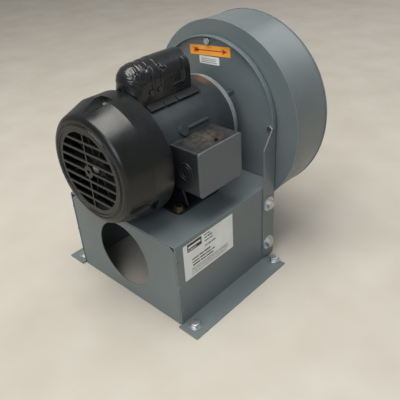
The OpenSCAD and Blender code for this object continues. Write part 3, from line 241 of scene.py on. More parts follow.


# Grey-green air-drying enamel sprayed on sheet steel: a soft sheen, faint orange peel, pale rims that are
# partly worn paint and partly painted highlight
greyEnamel = {"shade": "#5b6466", "light": "#677172", "worn": "#aab3b4", "dust": "#8d928e", "patch": 160,
              "mottle": 7, "mottleAmount": 0.3, "dustPatch": 60, "dustAmount": 0.16, "edge": 1.1,
              "wearAndHighlightPatch": 14, "wearAndEdgeHighlight": 0.85, "peel": 2.6, "peelStrength": 0.10, "roughness": 0.37,
              "rub": 0.05, "coat": 0.12, "coatRoughness": 0.3}
# Satin black enamel on the motor's steel shell and castings: near black, broad dull highlights
blackEnamel = {"shade": "#121516", "light": "#1b1f21", "worn": "#565c5e", "dust": "#55534e", "patch": 60,
               "mottle": 4, "mottleAmount": 0.4, "dustPatch": 25, "dustAmount": 0.14, "edge": 0.7,
               "wearAndHighlightPatch": 9, "wearAndEdgeHighlight": 0.4, "peel": 1.6, "peelStrength": 0.14, "roughness": 0.36,
               "rub": 0.06, "coat": 0.1, "coatRoughness": 0.25}
# The shell has a rust-brown burn of paint at its drive end, beside the capacitor
rustSpot = {"at": (18, 78, 308), "shape": (1.0, 1.6, 1.0), "radius": 17, "soft": 0.3, "ragged": 9,
            "grain": 6, "colour": "#7a4a2e", "amount": 0.85}
shellEnamel = {**blackEnamel, "shade": "#22292c", "light": "#31393d", "dustAmount": 0.2, "spots": [rustSpot]}
# The casting at the drive end is painted pale where it stands out of the shell: a painted highlight for the
# light line along its rim
paleCastingHighlight = {**blackEnamel, "shade": "#5d6465", "light": "#838a8a", "worn": "#a4aaa9", "dustAmount": 0.3}
# Moulded or pressed cover of the fan, satin black with a long soft highlight
coverBlack = {**blackEnamel, "shade": "#090b0c", "light": "#0f1213", "peel": 3.0, "peelStrength": 0.05,
              "roughness": 0.3, "dustAmount": 0.04, "wearAndEdgeHighlight": 0.2, "coat": 0.1, "coatRoughness": 0.2,
              "ior": 1.45}
# The terminal box is a browner black, and old dust and a stain lie on its top
stainSpot = {"at": (98, -2, 264), "shape": (1.0, 0.75, 1.0), "radius": 27, "soft": 0.25, "ragged": 14,
             "grain": 8, "colour": "#58524a", "amount": 0.7}
boxEnamel = {**blackEnamel, "shade": "#17191b", "light": "#232629", "dust": "#4d4a45", "dustPatch": 16,
             "dustAmount": 0.36, "worn": "#6c7070", "spots": [stainSpot]}
# Its side cover reads as a cooler dark grey, its pale rims partly worn paint and partly painted highlight
lidEnamel = {**blackEnamel, "shade": "#494f55", "light": "#53595f", "worn": "#8b9192", "dustAmount": 0.3,
             "patch": 110, "mottleAmount": 0.2, "roughness": 0.42, "peelStrength": 0.08, "edge": 1.0,
             "wearAndEdgeHighlight": 0.8}
# Deep-drawn capacitor cover in gloss black, dark with small glints
glossBlack = {**blackEnamel, "shade": "#0a0b0d", "light": "#111316", "worn": "#26292b", "dust": "#333433",
              "dustAmount": 0.1, "peel": 5.0, "peelStrength": 0.03, "roughness": 0.28, "rub": 0.05,
              "coat": 0.22, "coatRoughness": 0.09, "wearAndEdgeHighlight": 0.2}
# Dull dark enamel inside the housing
wheelEnamel = {**greyEnamel, "shade": "#353b3d", "light": "#3f4648", "worn": "#7d8486", "roughness": 0.45}
# Bright zinc plate on bolts, nuts and washers: pale, faintly blue, a little blotchy
brightZinc = {"metallic": 1.0, "shade": "#aab0b1", "light": "#d3d8d9", "worn": "#e6e9e8", "patch": 6,
              "edge": 0.4, "grain": 1.2, "markStrength": 0.12, "roughness": 0.39, "rub": 0.06}
# Yellow chromate over zinc on the motor's foot bolts: straw to olive
yellowZinc = {**brightZinc, "shade": "#75664a", "light": "#9f8f6c", "worn": "#bdb294", "patch": 4,
              "roughness": 0.42}
# Dull zinc on the long through bolts and the cover's screws: grey, and on the through bolts dark as painted
# shade inside the fan cover
dullZincAndShade = {**brightZinc, "shade": "#4b4e50", "light": "#66696a", "worn": "#7d8081", "roughness": 0.5}
# Lighter grey zinc on the long nuts at the drive end
greyZinc = {**dullZincAndShade, "shade": "#6c7072", "light": "#8b8f90", "worn": "#b0b3b3", "roughness": 0.42}
# Ground and turned steel of the shaft, bearings and hub: fine rings round the axis
turnedSteel = {**brightZinc, "shade": "#8f9192", "light": "#b4b6b7", "worn": "#d2d4d5", "bands": 1.0,
               "markStrength": 0.1, "roughness": 0.28}
# Stacked electrical steel, oil dark; the laminations are drawn 1.6 mm apart, coarser than real, to show
stackedSteel = {**brightZinc, "shade": "#4b4e52", "light": "#63666a", "worn": "#85888b", "bands": 1.6,
                "bandShade": "#2b2d30", "markStrength": 0.4, "roughness": 0.45}
# Die-cast and drawn aluminium: pale, softly grained
castAluminium = {**brightZinc, "shade": "#a6a7a9", "light": "#c3c4c6", "worn": "#d9dadb", "grain": 0.9,
                 "markStrength": 0.2, "roughness": 0.42}
# Plain brass sheet of the cages and governor: warm yellow
sheetBrass = {**brightZinc, "shade": "#a98746", "light": "#cbab66", "worn": "#e0cf9a", "roughness": 0.3}
# Black oxide on the set screws: bluish black with an oily sheen
blackOxide = {**brightZinc, "shade": "#23252a", "light": "#33363c", "worn": "#6b6e72", "roughness": 0.38}
# Magnet wire under brown varnish: the windings are drawn as 1.8 mm wires
varnishedWire = {**brightZinc, "metallic": 0.0, "ior": 1.55, "coat": 0.5, "shade": "#6d3317",
                 "light": "#9a5226", "worn": "#b9774a", "bands": 1.8, "bandShade": "#3d1a0c",
                 "markStrength": 0.9, "roughness": 0.35}
# Glass-filled nylon of the cooling fan: black, matt, finely pitted
fanNylon = {**brightZinc, "metallic": 0.0, "ior": 1.53, "shade": "#121314", "light": "#1a1b1d",
            "worn": "#242628", "grain": 0.8, "markStrength": 0.3, "roughness": 0.65}
# Natural nylon of the governor spool: creamy and a little waxy
spoolNylon = {**fanNylon, "shade": "#cdc5ae", "light": "#ded8c4", "worn": "#e9e4d5", "roughness": 0.5}
# Phenolic board of the switch and terminal block: brown with paper flecks
phenolicBoard = {**fanNylon, "shade": "#5a3a20", "light": "#7a5330", "worn": "#94714c", "grain": 0.6,
                 "roughness": 0.48}
# Black rubber of gasket and seal: matt, slightly grey with bloom
sealRubber = {**fanNylon, "ior": 1.52, "shade": "#1b1b1b", "light": "#2a2a29", "worn": "#3d3d3b",
              "roughness": 0.8}
# Vinyl label film: white, with a dull sheen, grubby in patches
whiteFilm = {**fanNylon, "ior": 1.46, "shade": "#d2d5d2", "light": "#e2e4e2", "worn": "#e6e7e4",
             "patch": 30, "edge": 0.2, "grain": 3, "markStrength": 0.04, "roughness": 0.42}
# The same film in the rotation label's orange
orangeFilm = {**whiteFilm, "shade": "#f29a2a", "light": "#faac3e", "worn": "#eec08a"}
# Printing inks: black, grey and orange-red, each a little uneven
blackInk = {**whiteFilm, "shade": "#1c1c1d", "light": "#2b2b2c", "worn": "#2b2b2c", "patch": 5,
            "roughness": 0.4}
greyInk = {**blackInk, "shade": "#77797a", "light": "#8b8d8d", "worn": "#8b8d8d"}
redInk = {**blackInk, "shade": "#b92c0d", "light": "#c83a14", "worn": "#c83a14"}

finishes = {
    "gray_enamel": paintedSurface("greyEnamelOnSheetSteel", greyEnamel),
    "black_enamel": paintedSurface("satinBlackEnamel", blackEnamel),
    "black_gloss": paintedSurface("glossBlackEnamel", glossBlack),
    "wheel_paint": paintedSurface("darkGreyWheelEnamel", wheelEnamel),
    "zinc_steel": metalSurface("brightZincPlate", brightZinc),
    "yellow_zinc": metalSurface("yellowChromatedZinc", yellowZinc),
    "machined_steel": metalSurface("turnedSteel", turnedSteel),
    "core_steel": metalSurface("stackedElectricalSteel", stackedSteel),
    "cast_aluminium": metalSurface("castAluminium", castAluminium),
    "brass_sheet": metalSurface("plainBrassSheet", sheetBrass),
    "black_oxide": metalSurface("blackOxideSteel", blackOxide),
    "copper_varnish": metalSurface("varnishedMagnetWire", varnishedWire),
    "fan_polymer": metalSurface("glassFilledNylon", fanNylon),
    "spool_polymer": metalSurface("naturalNylon", spoolNylon),
    "board_laminate": metalSurface("phenolicBoard", phenolicBoard),
    "rubber_black": metalSurface("sealRubber", sealRubber),
    "label_white": metalSurface("whiteLabelFilm", whiteFilm),
    "label_orange": metalSurface("orangeLabelFilm", orangeFilm),
}
inks = {
    "black": metalSurface("blackPrintingInk", blackInk),
    "grey": metalSurface("greyPrintingInk", greyInk),
    "red": metalSurface("orangeRedPrintingInk", redInk),
}
ownFinish = {
    "motor_shell": paintedSurface("satinBlackShellEnamel", shellEnamel),
    "fan_cover": paintedSurface("satinBlackFanCover", coverBlack),
    "terminal_box": paintedSurface("dustyBlackBoxEnamel", boxEnamel),
    "terminal_box_cover": paintedSurface("darkGreyBoxEnamel", lidEnamel),
    # the drive-end casting is painted pale, a painted highlight along its rim
    "drive_end_shield": paintedSurface("paintedHighlightBlackCasting", paleCastingHighlight),
    "motor_stud_nuts": metalSurface("greyZincPlate", greyZinc),
    # the through bolts' dark zinc is partly painted shade inside the fan cover
    "motor_through_bolts": metalSurface("dullZincPlateAndShade", dullZincAndShade),
}
ownFinish["capacitor_cover_screws"] = ownFinish["motor_through_bolts"]
for part in frame["record"]["subparts"]:
    material = ownFinish.get(part["node"], finishes[part["material_slot"]])
    node = nodes[part["node"]]
    if not node.material_slots:
        node.data.materials.append(None)
    for place in node.material_slots:
        place.material = material
print("finishes made:", len(bpy.data.materials))


# Meshes: the helpers that the added pieces use
def makePiece(name, vertices, faces, material, body="frame", smooth=True, place=None):
    mesh = bpy.data.meshes.new(name)
    mesh.from_pydata([tuple(v) for v in vertices], [], faces)
    mesh.materials.append(material)
    mesh.validate()
    if place is not None:
        mesh.transform(place)
    if smooth:
        mesh.shade_smooth()
        mesh.set_sharp_from_angle(angle=math.radians(sharpAngle))
    piece = bpy.data.objects.new(name, mesh)
    bpy.context.scene.collection.objects.link(piece)
    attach(piece, body)
    return piece


def turnedForm(profile, segments=roundSegments):
    # turns a closed profile of (radius, height) about Z
    vertices = []
    faces = []
    count = len(profile)
    for k in range(segments):
        turn = 2 * math.pi * k / segments
        for radius, height in profile:
            vertices.append(Vector((radius * math.cos(turn), radius * math.sin(turn), height)))
    for k in range(segments):
        ring, nextRing = k * count, (k + 1) % segments * count
        for j in range(count):
            after = (j + 1) % count
            faces.append((ring + j, nextRing + j, nextRing + after, ring + after))
    return vertices, faces


def joinForms(forms):
    # several (vertices, faces) forms as one
    vertices = []
    faces = []
    for formVertices, formFaces in forms:
        start = len(vertices)
        vertices += formVertices
        faces += [tuple(start + i for i in face) for face in formFaces]
    return vertices, faces


def placed(form, place):
    return [place @ v for v in form[0]], form[1]


def hexHead(flats, height, topRadius, slope=0.5, crown=0.86, segments=roundSegments):
    # a hexagon head with its corners turned off by a cone, standing on Z = 0
    rings = [[], [], [], []]
    for k in range(segments):
        turn = 2 * math.pi * k / segments
        sector = (turn + math.pi / 6) % (math.pi / 3) - math.pi / 6
        reach = flats / 2 / math.cos(sector)
        shoulder = height - max(reach - topRadius, 0) * slope
        side = Vector((math.cos(turn), math.sin(turn), 0))
        rings[0].append(side * reach)
        rings[1].append(side * reach + Vector((0, 0, shoulder)))
        rings[2].append(side * min(topRadius, reach) + Vector((0, 0, height)))
        rings[3].append(side * topRadius * crown + Vector((0, 0, height)))
    vertices = [v for ring in rings for v in ring]
    faces = [tuple(reversed(range(segments))), tuple(range(3 * segments, 4 * segments))]
    for ring in range(3):
        for k in range(segments):
            after = (k + 1) % segments
            faces.append((ring * segments + k, ring * segments + after,
                          (ring + 1) * segments + after, (ring + 1) * segments + k))
    return vertices, faces


# Capacitor cover: a deep-drawn cap, ribbed at its screws and puckered at its nose
capCover = {
    "sheet": 1.2,            # thickness
    "centre": 98.5,          # height of its round top's centre above the shaft
    "sideFoot": 24.3,        # half width of its sides at the foot
    "footHeight": 72,        # height where the sides turn upright
    "saddle": 74.2,          # radius that its lower edge follows
    "noseRadius": 22,
    "noseFoot": 15,          # the nose's radius low down, where it is fuller
    "noseBlend": 18,         # height over which it fills out
    "stepPlaces": [-19, -33, -47],
    "stepSize": 0.7,
    "stepBlend": 2.5,
    "frontRound": 3,
    "pitch": 0.7,            # spacing of the mesh
    "frontSteps": 6,         # facets of the round at its front
    "crestShare": 0.05,      # the very top stays plain, where the sine of the turn is under this
    "lineReach": 6,          # how far a line's relief is worked out
    "grooveDepth": 1.1,
    "grooveWidth": 1.35,
    "lipHeight": 0.45,
    "lipShares": (2.1, 0.7),  # place and width of a groove's lip, in groove widths
    "ridgeHeight": 0.42,
    "ridgeWidth": 0.85,
    "dipShares": (2.2, 0.4),  # place of the dip beside a ridge in ridge widths, its depth in heights
    "puckerEnd": -38,        # the puckers lie behind this place
    # places are (along the shaft, along the skin from the level of the centre) in mm
    "grooves": [
        [(-40.5, 17.5), (-38.8, 21.0), (-35.6, 21.8), (-33.8, 17.5), (-34.4, 8.0), (-35.4, -13.0)],
        [(-17.4, 18.0), (-18.8, 7.0), (-19.4, -13.2)],
        [(-15.6, 14.2), (-13.2, 11.4), (-9.7, 12.6)],
        [(24.8, 15.5), (23.2, 6.0), (23.9, -11.5)],
    ],
    "ridges": [
        [(-64.6, 33.5), (-65.0, 22.5)], [(-66.6, 35.0), (-67.0, 21.5), (-63.0, 13.5)],
        [(-58.6, 30.0), (-58.2, 20.0)], [(-55.6, 30.0), (-56.9, 18.0), (-59.8, 12.5)],
        [(-47.4, 30.5), (-48.2, 18.5), (-50.5, 13.4)], [(-42.6, 32.0), (-43.8, 20.0), (-44.6, 13.5)],
        [(-54.4, 18.0), (-52.2, 12.5), (-54.8, 8.8)],
        [(-66.0, 6.5), (-64.2, 1.5), (-61.5, -1.6), (-57.7, -0.5), (-52.4, 1.4), (-46.6, 2.2),
         (-44.6, 5.0), (-49.6, 5.6), (-54.3, 5.2), (-59.2, 7.6)],
    ],
    "emboss": {"from": (-0.4, -17.8), "to": (25.0, -12.6), "height": 0.9, "blend": 1.1, "lead": 3.3},
}


def distanceToLine(point, line):
    best = math.inf
    for (x0, y0), (x1, y1) in zip(line, line[1:]):
        dx, dy = x1 - x0, y1 - y0
        share = max(0, min(1, ((point[0] - x0) * dx + (point[1] - y0) * dy) / (dx * dx + dy * dy)))
        best = min(best, math.hypot(point[0] - x0 - share * dx, point[1] - y0 - share * dy))
    return best


def smoothRise(value, start, end):
    share = max(0, min(1, (value - start) / (end - start)))
    return share * share * (3 - 2 * share)


def pressedRelief(along, up):
    # how far the skin stands out at a place, in mm
    height = 0
    lipPlace, lipWidth = (share * capCover["grooveWidth"] for share in capCover["lipShares"])
    for line in capCover["grooves"]:
        away = distanceToLine((along, up), line)
        if away < capCover["lineReach"]:
            height -= capCover["grooveDepth"] * math.exp(-(away / capCover["grooveWidth"]) ** 2)
            height += capCover["lipHeight"] * math.exp(-((away - lipPlace) / lipWidth) ** 2)
    if along < capCover["puckerEnd"]:
        dipPlace, dipDepth = capCover["dipShares"]
        for line in capCover["ridges"]:
            away = distanceToLine((along, up), line) / capCover["ridgeWidth"]
            if away < capCover["lineReach"] / capCover["ridgeWidth"]:
                shape = math.exp(-away ** 2) - dipDepth * math.exp(-(away - dipPlace) ** 2)
                height += capCover["ridgeHeight"] * shape
    emboss = capCover["emboss"]
    (y0, z0), (y1, z1) = emboss["from"], emboss["to"]
    blend = emboss["blend"]
    inside = (smoothRise(along, y0, y0 + emboss["lead"]) * smoothRise(-along, -y1, -y1 + blend)
              * smoothRise(up, z0, z0 + blend) * smoothRise(-up, -z1, -z1 + blend))
    return height + emboss["height"] * inside


def noseStation(turn, radius, rear, last):
    # place along the shaft and half width at a turn round the nose
    return rear + radius * (1 - math.cos(turn)), last - radius * (1 - math.sin(turn))


def makeCapCover():
    low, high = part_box("capacitor_cover")
    rear, front, reach = low.y / mm, high.y / mm, high.x / mm
    noseEnd = rear + capCover["noseRadius"]
    last = reach - len(capCover["stepPlaces"]) * capCover["stepSize"]
    pitch = capCover["pitch"]
    stations = []  # place along, half width, lean to the rear, and the turn round the nose
    noseSteps = math.ceil(capCover["noseRadius"] * math.pi / 2 / pitch)
    for k in range(noseSteps):
        turn = math.pi / 2 * k / noseSteps
        stations.append((*noseStation(turn, capCover["noseRadius"], rear, last), math.cos(turn), turn))
    frontRound = capCover["frontRound"]
    straight = front - frontRound - noseEnd
    straightSteps = math.ceil(straight / pitch)
    for k in range(straightSteps):
        along = noseEnd + straight * k / straightSteps
        width = last
        for step in capCover["stepPlaces"]:
            width += capCover["stepSize"] * smoothRise(along, step - capCover["stepBlend"], step)
        stations.append((along, width, 0, None))
    for k in range(capCover["frontSteps"] + 1):
        turn = math.pi / 2 * k / capCover["frontSteps"]
        stations.append((front - frontRound * (1 - math.sin(turn)),
                         reach - frontRound * (1 - math.cos(turn)), -math.sin(turn), None))
    slope = (reach - capCover["sideFoot"]) / (capCover["centre"] - capCover["footHeight"])
    archSteps = math.ceil(reach * math.pi / 2 / pitch)
    sideSteps = math.ceil((capCover["centre"] - capCover["footHeight"]) / pitch)
    vertices = []
    for along, width, lean, noseTurn in stations:
        foot = math.sqrt(capCover["saddle"] ** 2 - min(width, capCover["sideFoot"]) ** 2)
        section = []  # from the middle of the top down one side
        for k in range(archSteps + 1):
            turn = math.pi / 2 * k / archSteps
            section.append((math.sin(turn), math.cos(turn), along, width * math.sin(turn),
                            capCover["centre"] + width * math.cos(turn), reach * (math.pi / 2 - turn)))
        for k in range(1, sideSteps + 1):
            height = capCover["centre"] + (foot - capCover["centre"]) * k / sideSteps
            slant = capCover["sideFoot"] + max(height - capCover["footHeight"], 0) * slope
            place, half = along, width
            if noseTurn is not None:
                fuller = smoothRise(capCover["centre"] - height, 0, capCover["noseBlend"])
                radius = capCover["noseRadius"] + fuller * (capCover["noseFoot"] - capCover["noseRadius"])
                place, half = noseStation(noseTurn, radius, rear, last)
            section.append((1, 0, place, min(half, slant), height, height - capCover["centre"]))
        for side in (-1, 1):
            for outX, outZ, place, x, z, up in (reversed(section) if side < 0 else section[1:]):
                relief = pressedRelief(place, up) if abs(outX) > capCover["crestShare"] else 0
                upright = math.sqrt(max(1 - lean * lean, 0))
                out = Vector((side * outX * upright, -lean, outZ * upright))
                vertices.append((Vector((side * x, place, z)) + relief * out) * mm + axisPoint)
    ring = 2 * (archSteps + sideSteps) + 1
    faces = []
    for s in range(len(stations) - 1):
        for k in range(ring - 1):
            faces.append((s * ring + k, s * ring + k + 1, (s + 1) * ring + k + 1, (s + 1) * ring + k))
    for start, turned in ((0, True), ((len(stations) - 1) * ring, False)):  # close both ends, side to side
        for k in range(ring // 2 - 1):
            face = (start + k, start + k + 1, start + ring - 2 - k, start + ring - 1 - k)
            faces.append(face if turned else tuple(reversed(face)))
    piece = makePiece("capacitor_cover_pressing", vertices, faces, finishes["black_gloss"])
    sheet = piece.modifiers.new("sheet", "SOLIDIFY")
    sheet.thickness = capCover["sheet"] * mm
    sheet.offset = -1
    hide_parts("capacitor_cover")


makeCapCover()
print("capacitor cover pressed")

# Lag bolts that hold the feet down, each with its flat washer
lagBolt = {"flats": 12.7, "head": 5.8, "top": 6.0, "shank": 4.7, "shankEnd": 0.2, "shankInHead": 1,
           "washerOut": 10.4, "washerIn": 5.2, "washer": 1.8, "bevel": 0.3, "sheet": 1.9,
           "turns": [12, 47, 5, 33]}


def makeLagBolts():
    holes = next(m for m in frame["record"]["mounts"] if m["name"] == "foot_holes")
    sx, sy = holes["dims"]["spacing_x_mm"] / 2, holes["dims"]["spacing_y_mm"] / 2
    seat = lagBolt["sheet"]
    top = seat + lagBolt["washer"]
    bevel, inner, outer = lagBolt["bevel"], lagBolt["washerIn"], lagBolt["washerOut"]
    washer = [(inner, seat), (outer, seat), (outer, top - bevel), (outer - bevel, top), (inner + bevel, top),
              (inner, top - bevel)]
    low, high = lagBolt["shankEnd"], top + lagBolt["shankInHead"]
    shank = [(coreRadius, low), (lagBolt["shank"], low), (lagBolt["shank"], high), (coreRadius, high)]
    head = placed(hexHead(lagBolt["flats"], lagBolt["head"], lagBolt["top"]),
                  Matrix.Translation((0, 0, top)))
    forms = {"bolt": joinForms([head, turnedForm(shank)]), "washer": turnedForm(washer)}
    corners = [(-sx, -sy), (sx, -sy), (sx, sy), (-sx, sy)]
    for number, ((x, y), turn) in enumerate(zip(corners, lagBolt["turns"]), 1):
        place = Matrix.Translation((x * mm, y * mm, 0)) @ Matrix.Rotation(math.radians(turn), 4, "Z") \
            @ Matrix.Scale(mm, 4)
        for kind, (vertices, faces) in forms.items():
            makePiece(f"lag_{kind}_{number}", vertices, faces, finishes["zinc_steel"],
                      place=place)


makeLagBolts()
print("feet bolted down")


# Prints on the labels: blocks, arrows and greeked rows, nothing that can be read
ink = {"thickness": 0.05, "rowRise": 0.75, "rowGap": 0.5}  # the last two as shares of a row's height


def labelFrame(node, right, up, out):
    # from mm on a label's face to the model's frame
    low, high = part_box(node)
    centre = (low + high) / 2
    face = max(low.dot(out), high.dot(out))
    origin = centre + out * (face - centre.dot(out))
    return Matrix.Translation(origin) @ Matrix((right, up, out)).transposed().to_4x4() @ Matrix.Scale(mm, 4)


def inkForm(outline, thickness=ink["thickness"]):
    # a flat shape of ink, from its outline in mm
    count = len(outline)
    vertices = [Vector((x, y, 0)) for x, y in outline] + [Vector((x, y, thickness)) for x, y in outline]
    faces = [tuple(reversed(range(count))), tuple(range(count, 2 * count))]
    for k in range(count):
        after = (k + 1) % count
        faces.append((k, after, count + after, count + k))
    return vertices, faces


def bar(x, y, length, height):
    return inkForm([(x, y), (x + length, y), (x + length, y + height), (x, y + height)])


def greekedRow(x, y, length, height, shortest, longest, chance):
    # a row of dashes in place of words
    forms = []
    place = x
    while place < x + length - shortest:
        dash = min(chance.uniform(shortest, longest), x + length - place)
        rise = height * chance.uniform(ink["rowRise"], 1)
        forms.append(bar(place, y, dash, rise))
        place += dash + height * ink["rowGap"]
    return forms


def printOn(name, node, forms, material, right, up, out):
    vertices, faces = joinForms(forms)
    place = labelFrame(node, right, up, out)
    makePiece(name, vertices, faces, material, smooth=False, place=place)


# Rating label on the pedestal's side; places from its middle, in mm
ratingPrint = {"block": (-45.4, 16.4, 29.6, 13.6),
               "blockBars": [(-43.6, 22.2, 25.5, 3.4), (-43.6, 18.4, 17, 1.2)],
               "short": [(-10.6, 26.6, 12.8), (-9.4, 21.4, 18.3), (-9.6, 15.8, 19.4), (-9.2, 7.3, 28.3)],
               "bold": [(-37.4, -1.6, 44.5), (-37.2, -7.2, 48.5), (-36.6, -12.6, 44.2)],
               "fine": [(-39.2, -17.2, 81), (-39.2, -20.0, 80), (-40.0, -23.2, 83), (-40.6, -27.0, 82)],
               # height of each kind of row, and its shortest and longest dash
               "rows": {"short": (2.2, 5, 10), "bold": (2.6, 6, 16), "fine": (1.5, 3, 8)},
               "seed": 4}


def makeRatingPrint():
    chance = random.Random(ratingPrint["seed"])
    axes = Vector((0, 1, 0)), Vector((0, 0, 1)), Vector((1, 0, 0))
    forms = {"short": [], "bold": [], "fine": []}
    for kind, rows in forms.items():
        for x, y, length in ratingPrint[kind]:
            rows.extend(greekedRow(x, y, length, *ratingPrint["rows"][kind], chance))
    black = [bar(*ratingPrint["block"])] + forms["short"] + forms["bold"]
    printOn("rating_print_black", "rating_label", black, inks["black"], *axes)
    printOn("rating_print_grey", "rating_label", forms["fine"], inks["grey"], *axes)
    lift = Matrix.Translation((0, 0, ink["thickness"]))  # the pale bars lie on the block
    pale = [placed(bar(*place), lift) for place in ratingPrint["blockBars"]]
    printOn("rating_print_pale", "rating_label", pale, finishes["label_white"], *axes)


# Rotation label: a long arrow with a feathered tail
arrowPrint = {"tilt": 4.3, "shaftFrom": -31, "shaftTo": 30, "shaftHalf": 0.85, "headFrom": 25,
              "headTo": 36.5, "headHalf": 4.9, "headNotch": 28.5, "feathers": [-35.5, -31.8, -28.1],
              "featherLength": 3.2, "featherHalf": 3.6, "featherSlant": 3.2}
# The small white label under it, with three rows of dashes
servicePrint = {"tilt": 2.5, "rows": [(-17, 1.6, 33), (-17, -1.2, 30), (-17, -4.0, 34)], "height": 1.3,
                "dashes": (3, 8), "seed": 9}


def axesOnPlate(tilt):
    # right, up and out on the drive plate, for a label stuck on with its left end down by the tilt
    turn = math.radians(tilt)
    right, up = Vector((math.cos(turn), 0, math.sin(turn))), Vector((-math.sin(turn), 0, math.cos(turn)))
    return right, up, Vector((0, -1, 0))


def makeArrowPrint():
    a = arrowPrint
    forms = [bar(a["shaftFrom"], -a["shaftHalf"], a["shaftTo"] - a["shaftFrom"], 2 * a["shaftHalf"]),
             inkForm([(a["headNotch"], 0), (a["headFrom"], -a["headHalf"]), (a["headTo"], 0)]),
             inkForm([(a["headNotch"], 0), (a["headTo"], 0), (a["headFrom"], a["headHalf"])])]
    for x in a["feathers"]:
        for s in (-1, 1):
            outline = [(x + a["featherSlant"], 0), (x + a["featherSlant"] + a["featherLength"], 0),
                       (x + a["featherLength"], s * a["featherHalf"]), (x, s * a["featherHalf"])]
            forms.append(inkForm(outline if s > 0 else list(reversed(outline))))
    printOn("rotation_print", "rotation_label", forms, inks["red"], *axesOnPlate(a["tilt"]))


def makeServicePrint():
    chance = random.Random(servicePrint["seed"])
    forms = []
    for x, y, length in servicePrint["rows"]:
        forms += greekedRow(x, y, length, servicePrint["height"], *servicePrint["dashes"], chance)
    printOn("service_print", "service_label", forms, inks["grey"], *axesOnPlate(servicePrint["tilt"]))


makeRatingPrint()
makeArrowPrint()
makeServicePrint()
print("labels printed")

# Spot welds that join the end plate's flanges to the pedestal's sides
spotWeld = {"along": -108, "heights": [119.2, 74.5, 29.8], "segments": 24,
            "profile": [(coreRadius, 0), (3.8, 0), (3.3, 0.245), (2.7, 0.35), (2.0, 0.21), (1.4, 0.05),
                        (coreRadius, 0.05)]}  # (radius, rise) of its rim and dip


def makeSpotWelds():
    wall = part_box("rating_label")[0].x / mm  # the label lies on the side wall
    forms = []
    for side in (-1, 1):
        for height in spotWeld["heights"]:
            place = Matrix.Translation((side * wall, spotWeld["along"], height)) \
                @ Matrix.Rotation(math.radians(90 * side), 4, "Y")
            forms.append(placed(turnedForm(spotWeld["profile"], spotWeld["segments"]), place))
    vertices, faces = joinForms(forms)
    makePiece("end_plate_spot_welds", vertices, faces, finishes["gray_enamel"],
              place=Matrix.Scale(mm, 4))


# Stamped rings of the conduit knockout in the terminal box
knockout = {"rings": [(13.0, 0.9, 0.7), (8.4, 0.8, 0.6)], "segments": 64, "facets": 6,
            "slot": (4.4, 1.1, 0.5), "slotTurns": [20, 110]}


def makeKnockoutRings():
    low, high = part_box("knockout_plug")
    centre = (low + high) / 2
    place = Matrix.Translation((centre.x, low.y, centre.z)) @ Matrix.Rotation(math.radians(90), 4, "X") \
        @ Matrix.Scale(mm, 4)
    forms = []
    arc = [math.pi * t / knockout["facets"] for t in range(knockout["facets"] + 1)]
    for radius, half, rise in knockout["rings"]:
        profile = [(radius + half * math.cos(t), rise * math.sin(t)) for t in arc]
        forms.append(turnedForm(profile, knockout["segments"]))
    width, height, rise = knockout["slot"]
    for turn in knockout["slotTurns"]:
        outline = [(-width, -height), (width, -height), (width, height), (-width, height)]
        forms.append(placed(inkForm(outline, rise), Matrix.Rotation(math.radians(turn), 4, "Z")))
    vertices, faces = joinForms(forms)
    makePiece("knockout_rings", vertices, faces, finishes["black_enamel"], place=place)


# Rivets that hold the wheel's blades to its back plate
wheelRivet = {"radius": 3.2, "rise": 1.5, "places": [46, 66, 88], "across": 6, "blades": 8, "tab": 2.0,
              "segments": 20, "facets": 5}


def makeWheelRivets():
    low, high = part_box("wheel_backplate")
    r, rise = wheelRivet["radius"], wheelRivet["rise"]
    arc = [math.pi / 2 * t / wheelRivet["facets"] for t in range(wheelRivet["facets"])]
    dome = [(coreRadius, 0)] + [(r * math.cos(t), rise * math.sin(t)) for t in arc] + [(coreRadius, rise)]
    forms = []
    for k in range(wheelRivet["blades"]):
        turn = Matrix.Rotation(-(k + 0.5) * 2 * math.pi / wheelRivet["blades"], 4, "Y")
        for out in wheelRivet["places"]:
            for y, face in ((high.y / mm + wheelRivet["tab"], -90), (low.y / mm, 90)):
                place = Matrix.Translation(axisPoint / mm) @ turn \
                    @ Matrix.Translation((out, y, wheelRivet["across"])) \
                    @ Matrix.Rotation(math.radians(face), 4, "X")
                forms.append(placed(turnedForm(dome, wheelRivet["segments"]), place))
    vertices, faces = joinForms(forms)
    makePiece("wheel_rivets", vertices, faces, finishes["zinc_steel"], "rotor",
              place=Matrix.Scale(mm, 4))


makeSpotWelds()
makeKnockoutRings()
makeWheelRivets()
print("welds, knockout and rivets added")

# The set: a pale floor, a soft overhead lamp, two weaker ones before and behind, and an even surround
studio = {"light": "#bdb7ac", "shade": "#b4ada1", "patch": 120, "roughness": 0.9, "size": 12,
          "surround": "#f3f3f2", "surroundStrength": 0.34}
lamps = {
    "overhead": {"at": (-0.1, -0.45, 2.1), "aim": (0, 0, 0.2), "size": 1.5, "power": 50,
                 "colour": "#fffdf8"},
    "fill": {"at": (1.0, -2.1, 1.5), "aim": (0, 0, 0.2), "size": 1.5, "power": 25, "colour": "#eaf3ff"},
    "back": {"at": (0.3, 2.3, 1.5), "aim": (0, 0, 0.15), "size": 1.5, "power": 15, "colour": "#f6f8ff"},
}
# The photograph's view: where the camera stands in mm, where it points in degrees, its lens in mm
photoView = {"at": (533.36, -475.66, 570.15), "azimuth": 44.522, "elevation": 32.356, "roll": -3.739,
             "lens": 45.91, "sensor": 36, "near": 20}


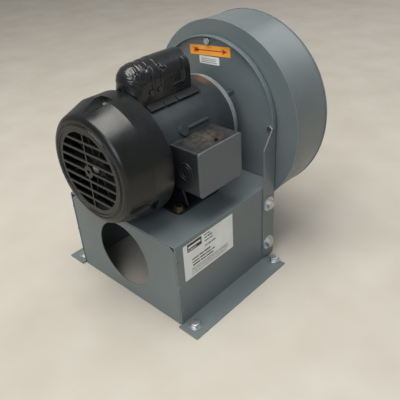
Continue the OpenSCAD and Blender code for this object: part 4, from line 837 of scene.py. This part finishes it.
def makeFloor():
    half = studio["size"] / 2
    corners = [(-half, -half, 0), (half, -half, 0), (half, half, 0), (-half, half, 0)]
    mesh = bpy.data.meshes.new("floor")
    mesh.from_pydata(corners, [], [(0, 1, 2, 3)])
    material = newMaterial("paleFloor")
    place = addNode(material, "ShaderNodeTexCoord").outputs["Object"]
    colour = twoTones(material, studio, noiseMask(material, place, studio["patch"], "drift"))
    shader = addNode(material, "ShaderNodeBsdfPrincipled", {"Roughness": studio["roughness"]},
                     {"Base Color": colour})
    addNode(material, "ShaderNodeOutputMaterial", None, {"Surface": shader.outputs[0]})
    mesh.materials.append(material)
    floor = bpy.data.objects.new("floor", mesh)
    bpy.context.scene.collection.objects.link(floor)


def makeLight():
    for name, lamp in lamps.items():
        light = bpy.data.lights.new(name, "AREA")
        light.shape = "SQUARE"
        light.size = lamp["size"]
        light.energy = lamp["power"]
        light.color = linearColour(lamp["colour"])[:3]
        holder = bpy.data.objects.new(name, light)
        holder.location = lamp["at"]
        ahead = Vector(lamp["aim"]) - Vector(lamp["at"])
        holder.rotation_euler = ahead.to_track_quat("-Z", "Y").to_euler()
        bpy.context.scene.collection.objects.link(holder)
    world = bpy.data.worlds.new("surround")
    world.use_nodes = True
    background = world.node_tree.nodes["Background"]
    background.inputs["Color"].default_value = linearColour(studio["surround"])
    background.inputs["Strength"].default_value = studio["surroundStrength"]
    bpy.context.scene.world = world


def makeCamera():
    azimuth, elevation, roll = (math.radians(photoView[k]) for k in ("azimuth", "elevation", "roll"))
    ahead = Vector((-math.sin(azimuth) * math.cos(elevation), math.cos(azimuth) * math.cos(elevation),
                    -math.sin(elevation)))
    right = ahead.cross(Vector((0, 0, 1))).normalized()
    up = right.cross(ahead)
    rolledRight = right * math.cos(roll) + up * math.sin(roll)
    rolledUp = up * math.cos(roll) - right * math.sin(roll)
    camera = bpy.data.cameras.new("photo_view")
    camera.sensor_width = photoView["sensor"]
    camera.lens = photoView["lens"]
    camera.clip_start = photoView["near"] * mm
    holder = bpy.data.objects.new("photo_view", camera)
    turn = Matrix((rolledRight, rolledUp, -ahead)).transposed().to_4x4()
    holder.matrix_world = Matrix.Translation(Vector(photoView["at"]) * mm) @ turn
    bpy.context.scene.collection.objects.link(holder)
    bpy.context.scene.camera = holder


makeFloor()
makeLight()
makeCamera()
bpy.context.scene.view_settings.view_transform = "Standard"
print("set, lamps and camera placed")
